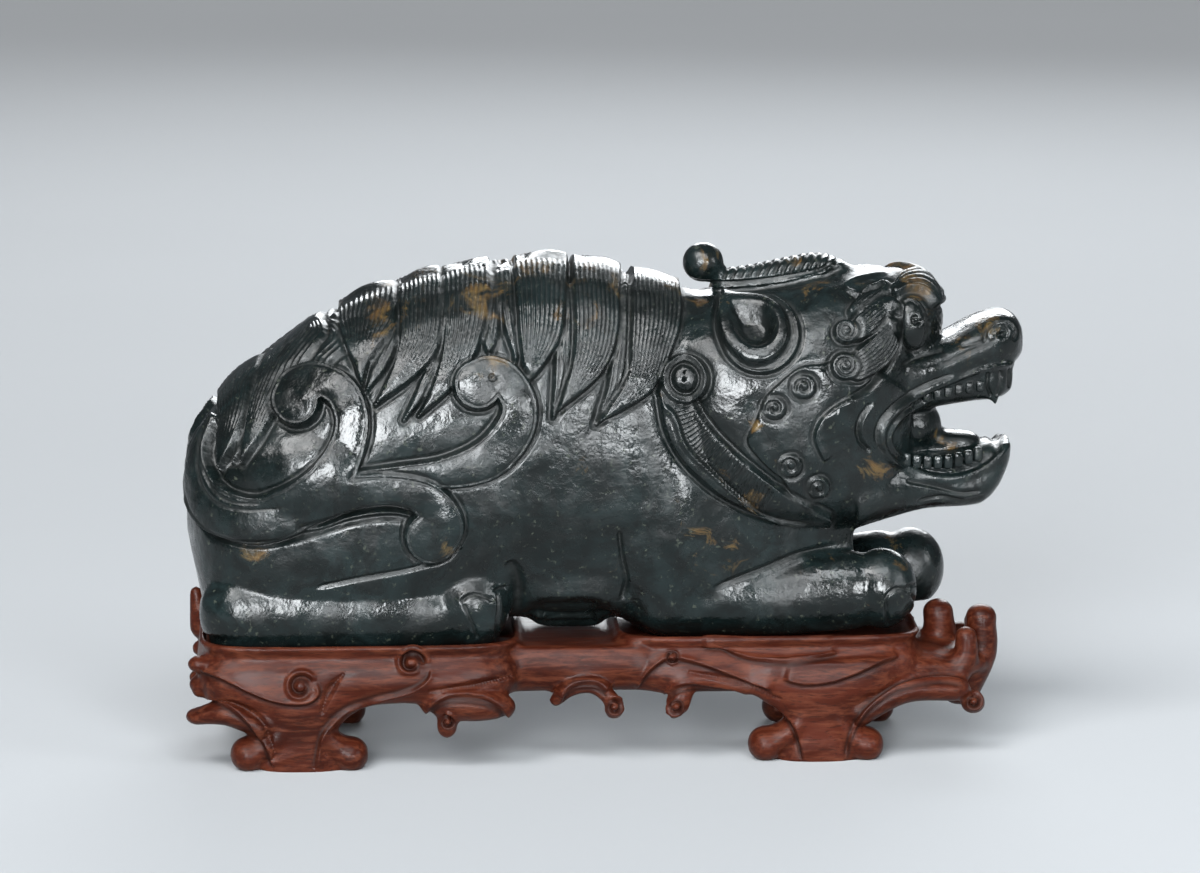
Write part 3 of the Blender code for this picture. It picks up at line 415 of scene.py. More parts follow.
class Relief:
    """Heights carved on one surface, in metres, found from where its points lie on the sheet.

    weight says how much of the carving each point takes: flank is for what stays on the sides, and back for
    what also runs over the top. The underside takes none.
    """

    def __init__(self, mesh):
        count = len(mesh.vertices)
        self.mesh = mesh
        self.points = read(mesh.vertices, "co", count)
        self.normals = read(mesh.vertices, "normal", count)
        self.column, self.row = on_sheet(self.points)
        outward = self.normals[:, 1] * np.sign(self.points[:, 1])
        topward = np.maximum(outward, 0.9 * self.normals[:, 2])
        self.flank = smoothstep((outward - FACING_START) / FACING_RISE)
        self.back = smoothstep((topward - FACING_START) / FACING_RISE)
        self.weight = self.flank
        self.height = np.zeros(count)
        # Painted shade for each point, darkest in the carved lines and hollows; it also dulls the polish
        # there
        self.groove = np.zeros(count)

    def near(self, curve, margin):
        """The points inside the box around a curve."""
        low = curve[:, :2].min(axis=0) - margin
        high = curve[:, :2].max(axis=0) + margin
        across = (self.column > low[0]) & (self.column < high[0])
        down = (self.row > low[1]) & (self.row < high[1])
        return np.flatnonzero(across & down & (self.weight > 0.0))

    def depth_inside(self, curve, pick):
        """How far inside the band swept by the curve's discs each point lies, in squares."""
        column, row = self.column[pick], self.row[pick]
        deepest = np.full(len(pick), -1e9)
        for c, r, half in curve:
            np.maximum(deepest, half - np.hypot(column - c, row - r), out=deepest)
        return deepest

    def along(self, curve, pick):
        """Share of the way along the curve, the distance to its right, and its half width there."""
        column, row = self.column[pick], self.row[pick]
        steps = np.hypot(np.diff(curve[:, 0]), np.diff(curve[:, 1]))
        travelled = np.concatenate([[0.0], np.cumsum(steps)])
        nearest = np.full(len(pick), 1e18)
        share, side, half = np.zeros(len(pick)), np.zeros(len(pick)), np.zeros(len(pick))
        widths = curve[:, 2] if curve.shape[1] > 2 else np.zeros(len(curve))
        for i, length in enumerate(steps):
            (ac, ar), (dc, dr) = curve[i, :2], curve[i + 1, :2] - curve[i, :2]
            t = np.clip(((column - ac) * dc + (row - ar) * dr) / length**2, 0.0, 1.0)
            off_c, off_r = column - ac - t * dc, row - ar - t * dr
            distance = off_c**2 + off_r**2
            closer = distance < nearest
            nearest[closer] = distance[closer]
            share[closer] = ((travelled[i] + t * length) / travelled[-1])[closer]
            side[closer] = (np.sign(dc * off_r - dr * off_c) * np.sqrt(distance))[closer]
            half[closer] = (widths[i] + t * (widths[i + 1] - widths[i]))[closer]
        return share, side, half

    def cut(self, pick, depth, tone):
        """Takes depth off the picked points, and paints shade into the carved line by tone."""
        self.height[pick] -= depth * self.weight[pick]
        self.groove[pick] = np.maximum(self.groove[pick], np.clip(tone, 0, 1) * self.weight[pick])

    def lay(self, bands, height, bevel=2.6, crown=0.0, border=0.0):
        """Lays bands of that height as one over what is there, with bevelled edges and a crowned face.

        border is how far inside the edge a thin line is cut, in squares.
        """
        curves = [smooth_curve(band) for band in bands]
        pick = self.near(np.vstack(curves), max(curve[:, 2].max() for curve in curves) + 12)
        inside = np.maximum.reduce([self.depth_inside(curve, pick) for curve in curves])
        cover = smoothstep(inside / bevel + 0.5) * self.weight[pick]
        widest = max(curve[:, 2].max() for curve in curves)
        face = height + crown * smoothstep(inside / (0.8 * widest))
        self.height[pick] = self.height[pick] * (1 - cover) + face * cover
        # Where a band is laid over, the painted shade of the lines beneath it is cleared
        self.groove[pick] *= 1 - cover
        # A fine line at the band's foot with painted shade in it; the border line inside the edge is shaded
        # the same way
        foot = swell(inside + bevel, 2.2)
        self.cut(pick, LINE_DEPTH * 0.7 * foot, foot)
        if border:
            line = swell(inside - border, 1.1)
            self.cut(pick, LINE_DEPTH * 0.45 * line, 0.8 * line)

    def disc(self, column, row, radius, height, bevel=2.6, crown=0.0):
        """Lays a round boss."""
        self.lay([[(column, row, radius), (column + 1, row, radius)]], height, bevel, crown)

    def sink(self, band, depth, bevel=4.0):
        """Sinks a hollow of that depth inside the band, with a little painted shade in it."""
        curve = smooth_curve(band)
        pick = self.near(curve, curve[:, 2].max() + 12)
        hollow = smoothstep(self.depth_inside(curve, pick) / bevel)
        self.cut(pick, depth * hollow, 0.35 * hollow)

    def line(self, points, depth, width=2.0, ends=0.08):
        """Cuts a line along a curve with painted shade in it, or raises a ridge where depth is negative."""
        curve = smooth_curve([point[:2] for point in points])
        pick = self.near(curve, 4 * width)
        share, side, _ = self.along(curve, pick)
        fade = fade_in_and_out(share, ends) if ends else 1.0
        mark = fade * swell(side, width)
        # A cut line gets painted shade along it; a raised ridge gets none
        self.cut(pick, depth * mark, mark if depth > 0 else 0.0)

    def comb(self, band, strands, depth=STRAND_DEPTH):
        """Combs a band into strands, which draw together as it narrows."""
        curve = smooth_curve(band)
        pick = self.near(curve, curve[:, 2].max() + 3)
        _, side, half = self.along(curve, pick)
        half = np.maximum(half, 0.4)
        inside = smoothstep((half - np.abs(side)) / 1.2 + 0.3)
        room = smoothstep((2 * half / strands - 1.0) / 2.5)
        mark = furrows((side / half * 0.5 + 0.5) * strands) * inside * room
        # The furrows between the strands get painted shade
        self.cut(pick, depth * mark, mark)

    def ribs(self, band, count, depth, low=-1.0, high=1.0, lean=0.0):
        """Cuts count grooves across a band, between two shares of its half width."""
        curve = smooth_curve(band)
        pick = self.near(curve, curve[:, 2].max() + 3)
        share, side, half = self.along(curve, pick)
        across = side / np.maximum(half, 0.4)
        inside = smoothstep((across - low) / 0.12) * smoothstep((high - across) / 0.12)
        inside *= (share > 0.004) & (share < 0.996)
        mark = furrows(share * count + lean * across) * inside
        # The cuts across the band get painted shade
        self.cut(pick, depth * mark, mark)

    def ledge(self, points, height, fade=22.0, bevel=2.2):
        """Raises what lies to the right of a curve, dying away over fade squares."""
        curve = smooth_curve(points)
        pick = self.near(curve, 3 * fade)
        share, side, _ = self.along(curve, pick)
        rise = smoothstep(side / bevel + 0.5) * np.exp(-np.maximum(side, 0) / fade)
        ends = fade_in_and_out(share, 0.06)
        self.height[pick] += height * rise * ends * self.weight[pick]
        # A fine line with painted shade at the foot of the raised side
        foot = ends * swell(side + bevel, 2.0)
        self.cut(pick, 0.3 * LINE_DEPTH * foot, foot)

    def coil(self, column, row, radius, depth, turns, start=0.0, way=1.0, width=0.0):
        """Cuts a spiral that winds in from its rim."""
        angles = np.linspace(0.0, 2 * math.pi * turns, int(20 * turns) + 1)
        reach = radius * (1 - 0.8 * angles / angles[-1])
        columns = column + reach * np.cos(start + way * angles)
        rows = row + reach * np.sin(start + way * angles)
        self.line(np.stack([columns, rows], axis=1), depth, width or 1.0 + 0.08 * radius)

    def stipple(self, band, height, pitch):
        """Covers a band with small round grains."""
        curve = smooth_curve(band)
        pick = self.near(curve, curve[:, 2].max() + 3)
        inside = smoothstep(self.depth_inside(curve, pick) / 4.0)
        column, row = self.column[pick] / pitch, self.row[pick] / pitch
        staggered = column + 0.5 * np.floor(row)
        grain = np.sin(2 * math.pi * staggered) * np.sin(2 * math.pi * row)
        self.height[pick] += height * grain * inside * self.weight[pick]
        # Painted shade in the dips between the grains
        self.groove[pick] = np.maximum(self.groove[pick], 0.6 * np.clip(-grain, 0, 1) * inside)

    def moved(self):
        """The points after carving, moved along their normals."""
        return self.points + self.normals * self.height[:, None]

    def keep(self, points):
        """Writes the carved points, and the painted shade of the carved lines, to the mesh."""
        self.mesh.vertices.foreach_set("co", points.astype(np.float32).ravel())
        # The painted shade of the carved lines, kept as an attribute on the points
        tone = self.mesh.attributes.new("groove", "FLOAT", "POINT")
        tone.data.foreach_set("value", self.groove.astype(np.float32))
        self.mesh.update()


def read(items, name, count):
    """A vector property of all vertices as an array."""
    values = np.empty(count * 3, np.float32)
    items.foreach_get(name, values)
    return values.reshape(-1, 3).astype(float)


# The tail is a trunk that splits into three curls, as column, row and half width
TAIL_CURL_BACK = [
    (216, 420, 5), (203, 450, 8), (204, 482, 14), (222, 510, 22), (256, 520, 24), (290, 510, 24),
    (322, 488, 22), (344, 456, 18), (353, 424, 17), (345, 396, 17), (323, 383, 17), (304, 391, 20),
    (298, 404, 23),
]
TAIL_CURL_FRONT = [
    (352, 474, 3), (400, 472, 8), (445, 472, 15), (486, 459, 20), (511, 434, 20), (519, 408, 18),
    (508, 384, 18), (490, 377, 20), (478, 386, 24),
]
TAIL_CURL_LOW = [
    (290, 514, 20), (345, 494, 17), (392, 489, 15), (428, 500, 18), (441, 522, 22), (431, 535, 26),
]
TAIL_EDGE_LINES = [
    [(211, 428), (206, 455), (208, 480), (220, 500), (240, 508), (268, 508), (292, 500)],
    [(216, 430), (211, 455), (214, 478), (226, 496), (242, 502), (266, 502)],
]
TAIL_UNDER_RIDGE = [(205, 533), (240, 541), (280, 541), (320, 531), (350, 522), (385, 517), (415, 519)]
TAIL_CHANNEL = [(296, 528), (325, 522), (350, 513), (380, 508), (402, 509), (416, 514)]
TAIL_PIT = (492, 378, 3.5)

# Locks of the mane from root to tip, as column, row and half width, with how many strands each has
UNDER_LOCKS = [
    ([(262, 380, 8), (258, 402, 9), (247, 432, 7), (233, 462, 1)], 4),
    ([(330, 338, 18), (310, 358, 16), (288, 384, 10), (270, 410, 3)], 8),
    ([(398, 296, 9), (392, 330, 11), (380, 362, 8), (366, 392, 1)], 5),
    ([(446, 286, 9), (444, 330, 11), (434, 372, 9), (404, 420, 1)], 5),
    ([(492, 276, 12), (490, 310, 11), (489, 335, 8), (489, 354, 1)], 5),
    ([(508, 276, 10), (512, 320, 9), (516, 350, 4), (515, 362, 1)], 4),
    ([(566, 290, 9), (566, 340, 11), (563, 380, 9), (553, 418, 1)], 4),
    ([(624, 290, 8), (622, 345, 10), (615, 388, 8), (597, 424, 1)], 4),
]
TOP_LOCKS = [
    ([(262, 352, 14), (240, 382, 15), (234, 412, 13), (228, 442, 8), (221, 470, 1)], 9),
    ([(312, 332, 15), (284, 368, 15), (267, 402, 13), (255, 434, 8), (243, 463, 1)], 9),
    ([(375, 290, 28), (368, 318, 27), (364, 340, 18), (362, 362, 8), (362, 384, 1)], 12),
    ([(427, 272, 24), (425, 305, 24), (421, 340, 20), (405, 370, 12), (376, 405, 1)], 11),
    ([(468, 262, 22), (467, 305, 21), (461, 345, 17), (446, 380, 10), (419, 416, 1)], 9),
    ([(541, 254, 27), (541, 295, 24), (540, 330, 21), (534, 358, 12), (528, 382, 1)], 10),
    ([(596, 254, 25), (596, 295, 22), (596, 330, 21), (588, 364, 16), (559, 409, 1)], 10),
    ([(652, 266, 21), (656, 310, 25), (651, 345, 21), (640, 382, 14), (601, 420, 1)], 11),
]


def carve_mane(relief):
    """Two rows of overlapping locks down each side of the back, combed into strands."""
    off_middle = np.abs(relief.points[:, 1]) / SQUARE
    beside_spine = relief.back * smoothstep((off_middle - SPINE_HALF_WIDTH) / 16)
    for row, share in ((UNDER_LOCKS, 0.5), (TOP_LOCKS, 1.0)):
        for band, strands in row:
            relief.weight = relief.back
            relief.lay([band], LOCK_RELIEF * share, 3.0, LOCK_RELIEF * share * 0.25)
            relief.weight = beside_spine
            relief.comb(band, strands, STRAND_DEPTH * (0.3 + 0.7 * share))
    relief.weight = relief.flank


def carve_tail(relief):
    """The split tail, lying in high relief on the haunch."""
    relief.lay([TAIL_CURL_FRONT], SCROLL_RELIEF, 3.0, border=3.2)
    relief.lay([TAIL_CURL_BACK, TAIL_CURL_LOW], SCROLL_RELIEF * 1.06, 3.0, border=3.2)
    for edge in TAIL_EDGE_LINES:
        relief.line(edge, LINE_DEPTH * 0.5, 1.3)
    relief.line(TAIL_UNDER_RIDGE, LINE_DEPTH * 1.5, 4.0)
    relief.line(TAIL_CHANNEL, LINE_DEPTH * 2.2, 4.5)
    relief.line(shifted(TAIL_CHANNEL, 0, 5), -LINE_DEPTH, 1.8)
    relief.coil(*TAIL_PIT, LINE_DEPTH, 1.0)


# The collar that edges the head, and the boss at its top
COLLAR = [(672, 392, 14), (684, 424, 20), (703, 452, 22), (735, 480, 21), (776, 503, 15), (826, 518, 5)]
COLLAR_RIBBED = [(684, 402, 17), (690, 426, 20), (704, 450, 21), (732, 476, 20), (768, 499, 13)]
COLLAR_LIP = [
    (656, 402), (668, 412), (675, 425), (680, 440), (690, 455), (702, 467), (718, 480), (738, 497),
    (758, 512), (785, 519), (812, 522),
]
COLLAR_RIBS = 32
BOSS = (684, 379)

# A step of the boss is its radius, and its height as a share of the head's relief
BOSS_STEPS = [(24, 1.25), (16.5, 0.7), (12.5, 1.4)]

# The ear, the edge of the horn, and the ribs across it
EAR_SHELL = [(722, 300, 2), (738, 322, 22), (758, 333, 38), (761, 334, 38)]
EAR_RIM = [(723, 299, 2), (733, 314, 14), (749, 329, 28), (757, 333, 31)]
EAR_HOLLOW = [(729, 305, 1), (737, 315, 10), (750, 327, 21), (757, 330, 23)]
HORN_EDGE = [(688, 282), (702, 286), (740, 286), (780, 281), (815, 275), (830, 268), (846, 261)]
HORN_RIBS = 14
HORN_RIB_SPAN = (727, 836)
HORN_RIB = [(-4, 0), (0, -9), (6, -22)]
HORN_FOOT_ROW = 279
HORN_FOOT_RISE = 0.08

# The cheek cloud, its small spirals, and the folds at the corner of the mouth
CLOUD_EDGE = [
    (822, 506), (806, 503), (790, 492), (784, 480), (772, 470), (757, 455), (748, 440), (757, 420),
    (764, 400), (778, 385), (800, 368), (825, 364), (852, 352),
]
CLOUD_COILS = [(803, 387, 11), (774, 408, 10.5), (790, 465, 10.5), (818, 487, 10)]
JAW_FOLD = [
    (826, 464), (818, 450), (814, 436), (820, 420), (834, 407), (852, 397), (870, 386), (882, 370),
]
CORNER_FOLD = [(872, 452), (861, 442), (857, 430), (860, 416), (870, 402)]
LIP = [
    (1016, 362), (985, 368), (960, 376), (930, 388), (905, 402), (888, 418), (881, 433), (883, 448),
    (894, 462), (912, 471), (937, 479), (962, 478), (986, 468), (1000, 455), (1009, 440),
]
LIP_INNER = [
    (935, 397), (908, 411), (895, 424), (889, 437), (893, 449), (905, 459), (930, 468), (955, 469),
]
CHIN_FOLDS = [
    [(905, 480), (935, 486), (962, 493), (984, 491)],
    [(915, 503), (940, 497), (966, 502), (986, 496)],
]

# Tufts of the brow with their strands, and the curls that they end in, as column, row, radius and turns
BROW_TUFTS = [
    ([(892, 288, 3), (882, 292, 8), (868, 301, 10), (852, 312, 4)], 6),
    ([(893, 303, 5), (882, 312, 11), (866, 325, 12), (851, 335, 7)], 8),
    ([(891, 324, 6), (886, 340, 12), (874, 355, 15), (857, 367, 13)], 8),
]
BROW_CURLS = [(845, 332, 11, 2.6), (844, 366, 13, 2.8)]
BROW_BUSH = [(896, 292, 4), (905, 283, 8), (920, 281, 10), (932, 289, 9), (936, 301, 5)]
FOREHEAD_LOOP = [
    (886, 283), (872, 290), (858, 293), (848, 290), (846, 284), (855, 279), (872, 275), (890, 273),
]
CHEEK_GROOVE = [(899, 298), (898, 330), (893, 350), (882, 372), (868, 388), (850, 398)]

# The eye, the grainy pad before it, the nose, and the gaps beside the front teeth
EYELID = [
    (902, 302), (899, 325), (902, 345), (912, 353), (923, 346), (928, 328), (924, 308), (912, 298),
    (902, 302),
]
PUPIL = (916, 319, 5.5)
NOSE_PAD = [(936, 312, 8), (938, 328, 12), (930, 346, 7)]
NOSTRIL = [(984, 344), (986, 332), (995, 323), (1008, 322), (1016, 331), (1013, 342)]
NOSTRIL_HOLLOW = [(1000, 334, 4), (1004, 334, 4)]
MUZZLE_LINES = [
    [(940, 366), (962, 355), (984, 345), (998, 339)],
    [(960, 346), (978, 343), (990, 338)],
    [(902, 366), (916, 358), (932, 353), (945, 349)],
]
TEETH_GAPS = [
    [(988, 372), (988, 387), (991, 397)],
    [(1001, 370), (1000, 387), (997, 398)],
    [(1010, 368), (1009, 388)],
]


def carve_horn(relief):
    """The ribbed horn and the raised line under it."""
    first, last = HORN_RIB_SPAN
    relief.weight = relief.back
    for i in range(HORN_RIBS):
        column = first + (last - first) * i / (HORN_RIBS - 1)
        foot_row = HORN_FOOT_ROW - HORN_FOOT_RISE * (column - first)
        relief.line(shifted(HORN_RIB, column, foot_row), LINE_DEPTH * 0.9, 1.5, 0.02)
    relief.weight = relief.flank
    relief.line(shifted(HORN_EDGE, 0, -4), LINE_DEPTH * 0.8, 1.6)
    relief.line(HORN_EDGE, -LINE_DEPTH * 0.9, 2.0)
    relief.line(shifted(HORN_EDGE, 0, 5), LINE_DEPTH, 2.6)


def carve_collar(relief):
    """The ribbed collar with its beaded lip, and the ringed boss at its top."""
    relief.lay([COLLAR], HEAD_RELIEF, 3.0)
    relief.ribs(COLLAR_RIBBED, COLLAR_RIBS, LINE_DEPTH * 0.9, -0.98, 0.7, lean=-0.5)
    relief.line(shifted(COLLAR_LIP, 5, -3), LINE_DEPTH * 0.7, 1.6)
    relief.line(COLLAR_LIP, -LINE_DEPTH, 2.4)
    for radius, share in BOSS_STEPS:
        relief.disc(*BOSS, radius, HEAD_RELIEF * share, crown=0.0006)


def carve_ear(relief):
    """A leaf-shaped ear with a thick rolled rim."""
    relief.weight = relief.back
    relief.lay([EAR_SHELL], HEAD_RELIEF * 0.6, 3.0, border=3.5)
    relief.lay([EAR_RIM], HEAD_RELIEF * 1.5, 4.0)
    relief.sink(EAR_HOLLOW, HEAD_RELIEF * 2.2, 16.0)
    relief.weight = relief.flank


def carve_cheek(relief):
    """The cloud on the cheek, the folds round the mouth's corner, and the lips."""
    relief.ledge(CLOUD_EDGE, HEAD_RELIEF * 0.6, 30.0)
    for column, row, radius in CLOUD_COILS:
        relief.disc(column, row, radius, HEAD_RELIEF * 0.55, 2.4, 0.0004)
        relief.coil(column, row, radius * 0.8, LINE_DEPTH * 1.1, 1.3, 2.4, width=1.5)
    relief.ledge(JAW_FOLD, FOLD_RELIEF, 26.0)
    relief.line(CHEEK_GROOVE, LINE_DEPTH * 1.8, 2.6)
    relief.line(CORNER_FOLD, LINE_DEPTH * 1.3, 2.4)
    relief.line(shifted(CORNER_FOLD, 4, 0), -LINE_DEPTH * 0.7, 2.0)
    relief.line(LIP, -FOLD_RELIEF * 0.9, 3.6, 0.03)
    relief.line(shifted(LIP[2:9], -5, -3), LINE_DEPTH * 0.9, 1.8)
    relief.line(LIP_INNER, -FOLD_RELIEF * 0.5, 2.0)
    for fold in CHIN_FOLDS:
        relief.line(fold, LINE_DEPTH, 2.2)


def carve_brow(relief):
    """Combed tufts that end in curls, and the bushy curl over the eye."""
    for band, strands in BROW_TUFTS:
        relief.lay([band], HEAD_RELIEF * 0.8, 2.6, HEAD_RELIEF * 0.2)
        relief.comb(band, strands, STRAND_DEPTH * 0.9)
    for column, row, radius, turns in BROW_CURLS:
        relief.disc(column, row, radius, HEAD_RELIEF * 0.75, crown=0.0005)
        relief.coil(column, row, radius * 0.8, LINE_DEPTH * 0.9, turns * 0.8, -0.6, width=1.2)
    relief.weight = relief.back
    relief.lay([BROW_BUSH], HEAD_RELIEF * 0.9, 2.6, HEAD_RELIEF * 0.2)
    relief.comb(BROW_BUSH, 5, STRAND_DEPTH)
    relief.line(FOREHEAD_LOOP, -LINE_DEPTH * 0.8, 1.8)
    relief.line(shifted(FOREHEAD_LOOP[:4], 0, 3), LINE_DEPTH * 0.7, 1.6)
    relief.weight = relief.flank


def carve_face(relief):
    """The lids and pupil of the eye, the pad before it, the nose, and the gaps beside the front teeth."""
    relief.line(EYELID, LINE_DEPTH * 1.1, 1.8, 0.0)
    relief.coil(*PUPIL, LINE_DEPTH * 1.8, 1.0, width=1.5)
    relief.stipple(NOSE_PAD, LINE_DEPTH * 0.25, 4.0)
    relief.line(NOSTRIL, LINE_DEPTH * 1.1, 1.8)
    relief.line(shifted(NOSTRIL[1:5], 0, 3), -LINE_DEPTH * 0.8, 1.8)
    relief.sink(NOSTRIL_HOLLOW, LINE_DEPTH * 2.0, 3.0)
    for crease in MUZZLE_LINES:
        relief.line(crease, LINE_DEPTH * 0.7, 2.0)
    for gap in TEETH_GAPS:
        relief.line(gap, LINE_DEPTH * 1.2, 1.6, 0.04)


# Creases of the legs with their depths as shares of a line's and their widths, and the lines of the claws
LEG_CREASES = [
    ([(312, 589), (358, 579), (412, 569), (452, 556)], 1.2, 2.2),
    ([(712, 590), (738, 579), (768, 567), (800, 554), (838, 545)], 1.6, 2.8),
    ([(619, 530), (622, 560), (626, 580), (622, 602)], 1.4, 2.6),
    ([(508, 560), (518, 580), (517, 632)], 1.4, 5.0),
]
CLAW_LINES = [
    [(461, 603), (466, 597), (476, 594), (486, 597), (493, 601)],
    [(463, 603), (468, 615), (474, 628), (478, 640)],
    [(497, 592), (499, 606), (497, 622), (496, 640)],
    [(494, 592), (500, 588), (507, 588)],
    [(884, 602), (888, 594), (896, 588), (905, 589), (910, 593)],
    [(886, 600), (886, 612), (888, 626)],
    [(910, 594), (916, 604), (913, 618)],
    [(906, 588), (913, 584), (918, 586)],
]
BELLY_HOLLOW = [(548, 628, 34), (590, 628, 34)]

# The knobs down the back
SPINE_REACH = (300, 640)
SPINE_FADE = 60
SPINE_KNOB_COLUMN = 372
SPINE_KNOB_PITCH = 61
SPINE_HALF_WIDTH = 15


def carve_legs(relief):
    """Creases between the legs and the body, and the claws."""
    for crease, depth, width in LEG_CREASES:
        relief.line(crease, LINE_DEPTH * depth, width)
    for line in CLAW_LINES:
        relief.line(line, LINE_DEPTH * 0.9, 1.7)
        relief.line(shifted(line, -3, -2), -LINE_DEPTH * 0.4, 1.8)
    relief.sink(BELLY_HOLLOW, BELLY_UNDERCUT, 22.0)


def carve_spine(relief):
    """Rounded knobs down the middle of the back."""
    middle = swell(relief.points[:, 1], SPINE_HALF_WIDTH * SQUARE) * (relief.normals[:, 2] > 0.2)
    first, last = SPINE_REACH
    reach = smoothstep((relief.column - first) / SPINE_FADE)
    reach *= smoothstep((last - relief.column) / SPINE_FADE)
    knobs = np.abs(np.cos(math.pi * (relief.column - SPINE_KNOB_COLUMN) / SPINE_KNOB_PITCH)) ** 0.7
    relief.height += SPINE_RELIEF * middle * reach * (knobs - 0.4)


def keep_to_footprints(points):
    """Draws in what would reach past a footprint near the seats; between the rims the belly hangs free."""
    low = points[:, 2] < SEAT_HEIGHT + RIM_HEIGHT + RIM_WALL
    hind, fore = footprint(*HIND_FOOTPRINT), footprint(*FORE_FOOTPRINT)
    rim = SEAT_CLEARANCE + RIM_WALL + RESTING_GAP
    behind = points[:, 0] < hind[0] + hind[1] + rim
    ahead = points[:, 0] > fore[0] - fore[1] - rim
    for (middle, half_length, half_width), part in ((hind, behind), (fore, ahead)):
        pick = np.flatnonzero(low & part)
        along = (points[pick, 0] - middle) / half_length
        across = points[pick, 1] / half_width
        shrink = 1 / np.maximum(out_of_footprint(along, across), 1.0)
        points[pick, 0] = middle + along * half_length * shrink
        points[pick, 1] = across * half_width * shrink


def thinned(mesh, wanted):
    """The mesh with about the wanted number of triangles, spent where the carving needs them."""
    obj = bpy.data.objects.new(mesh.name, mesh)
    bpy.context.collection.objects.link(obj)
    there = sum(len(p.vertices) - 2 for p in mesh.polygons)
    thin = obj.modifiers.new("Thin", "DECIMATE")
    thin.ratio = min(1.0, wanted / there)
    return plain_mesh(obj)


def carved_beast():
    """The beast's finished surface."""
    mesh = fused("beast", beast_forms)
    relief = Relief(mesh)
    for carve in (
        carve_mane, carve_tail, carve_collar, carve_horn, carve_ear, carve_cheek, carve_brow, carve_face,
        carve_legs, carve_spine,
    ):
        carve(relief)
    points = relief.moved()
    keep_to_footprints(points)
    points[:, 2] = np.maximum(points[:, 2], SEAT_HEIGHT + RESTING_GAP)
    relief.keep(points)
    return thinned(mesh, BEAST_TRIANGLES)


# Share of the rim's wall over which it rolls up from the seat
RIM_ROLL = 0.35

# The stand. A knee is a share of the platform's height and how far it swells, in squares
KNEES = [(0.0, -16), (0.06, -4), (0.3, 3), (0.6, 1), (0.78, -5), (0.88, -3), (0.93, 1), (1.0, 0)]
WAIST_SPAN = (480, 660)
WAIST_LEVELS = [(0.05, -16), (0.2, -6), (0.55, 0), (0.9, -2), (1.0, -5)]
FOOT_ROWS = (700, 760)

# A foot's level is its rise off the floor, half length and half width. A foot is its column, how far its
# middle lies in from the platform's face, and how widely it spreads
FOOT_LEVELS = [
    (100, 80, 24), (88, 84, 26), (73, 78, 26), (64, 60, 25), (54, 45, 24), (40, 33, 22), (26, 27, 21),
    (14, 33, 21), (4, 40, 20), (-6, 40, 20),
]
HIND_FOOT = (302, -23, 1.0)
FORE_FOOT = (818, -15, 0.98)
TOE_REACHES = (-54, 49)
TOE_RISE = 14
TOE_SIZE = (18, 24, 18)

# Forms on the stand's sides, whose side is counted from the platform's face
LEFT_LOBE = [(197, 716, -36, 16, 8), (226, 712, -22, 18, 13), (262, 722, -20, 22, 16)]
LEFT_KNOBS = [(199, 664, -32, 12, 14, 9), (200, 684, -42, 12, 14, 9), (199, 716, -38, 14, 14, 9)]
HANGING_LEAF = (468, 703, -14, 48, 22, 18, -4)
LEAF_BUD = (447, 725, -10, 11, 11, 14)
WAIST_CURL = [
    (556, 700, -6, 8, 7), (572, 688, -2, 9, 8), (594, 686, -2, 9, 8), (612, 700, 0, 9, 9),
    (614, 710, 0, 10, 10),
]
ARCH_BOSS = [(694, 664, -12, 12, 12), (684, 688, -5, 11, 11), (677, 705, -2, 12, 13), (674, 712, -2, 7, 8)]
RIGHT_ARCH = [(860, 712, -8, 16, 12), (905, 690, -14, 18, 12), (955, 688, -24, 20, 12)]
RIGHT_BOSS = (973, 702, -28, 13, 15, 12)

# Roots at the right end: tip, foot, side and radius; and the post at the left end
ROOTS = [
    (938, 612, 930, 668, -2, 18), (966, 636, 950, 676, -58, 13), (981, 617, 960, 682, -26, 18),
    (982, 630, 962, 680, 26, 14), (974, 654, 952, 678, 58, 13), (958, 664, 938, 682, 78, 11),
]
RIGHT_SILL = [(905, 652, -14, 22), (950, 654, -30, 18)]
LEFT_POST = [(194, 616, 60, 7, 7), (199, 652, 60, 11, 12)]

# Edges of the stand's leaves, whose right side stands higher
LEAF_EDGES = [
    [(317, 681), (319, 694), (308, 703), (290, 704), (270, 700), (250, 692), (225, 680), (197, 668)],
    [(275, 770), (270, 757), (262, 740), (250, 725), (235, 712), (215, 700), (190, 690)],
    [
        (315, 770), (320, 742), (329, 724), (346, 709), (370, 700), (395, 694), (415, 688), (428, 679),
        (431, 667),
    ],
    [(840, 653), (812, 660), (785, 663), (760, 661), (736, 655), (720, 646), (700, 646)],
    [(900, 656), (878, 664), (852, 675), (830, 682), (805, 684), (782, 679)],
    [(775, 690), (740, 678), (700, 664), (672, 659), (658, 664), (645, 676), (636, 690)],
]

# Edges of its arches, of the hanging leaf and of the waist, with a line beside each
ARCH_EDGES = [
    [(512, 724), (500, 708), (485, 699), (465, 696), (448, 698), (433, 706), (426, 716)],
    [(608, 692), (596, 684), (580, 684), (568, 690), (562, 700)],
    [
        (803, 762), (800, 744), (794, 727), (784, 712), (768, 701), (745, 692), (715, 686), (690, 684),
        (672, 690), (664, 702),
    ],
    [(846, 760), (851, 735), (860, 716), (875, 701), (896, 687), (920, 680), (945, 678), (968, 682)],
]

# A hollow of the stand's sides, and its depth as a share of a leaf's height
STAND_HOLLOWS = [
    ([(205, 700, 2), (235, 704, 5), (262, 722, 6), (274, 750, 3)], 1.2),
    ([(345, 672, 2), (330, 690, 7), (322, 712, 4)], 1.0),
    ([(430, 690, 3), (470, 686, 6), (510, 676, 3)], 1.2),
    ([(690, 672, 3), (740, 682, 6), (780, 698, 3)], 1.0),
]

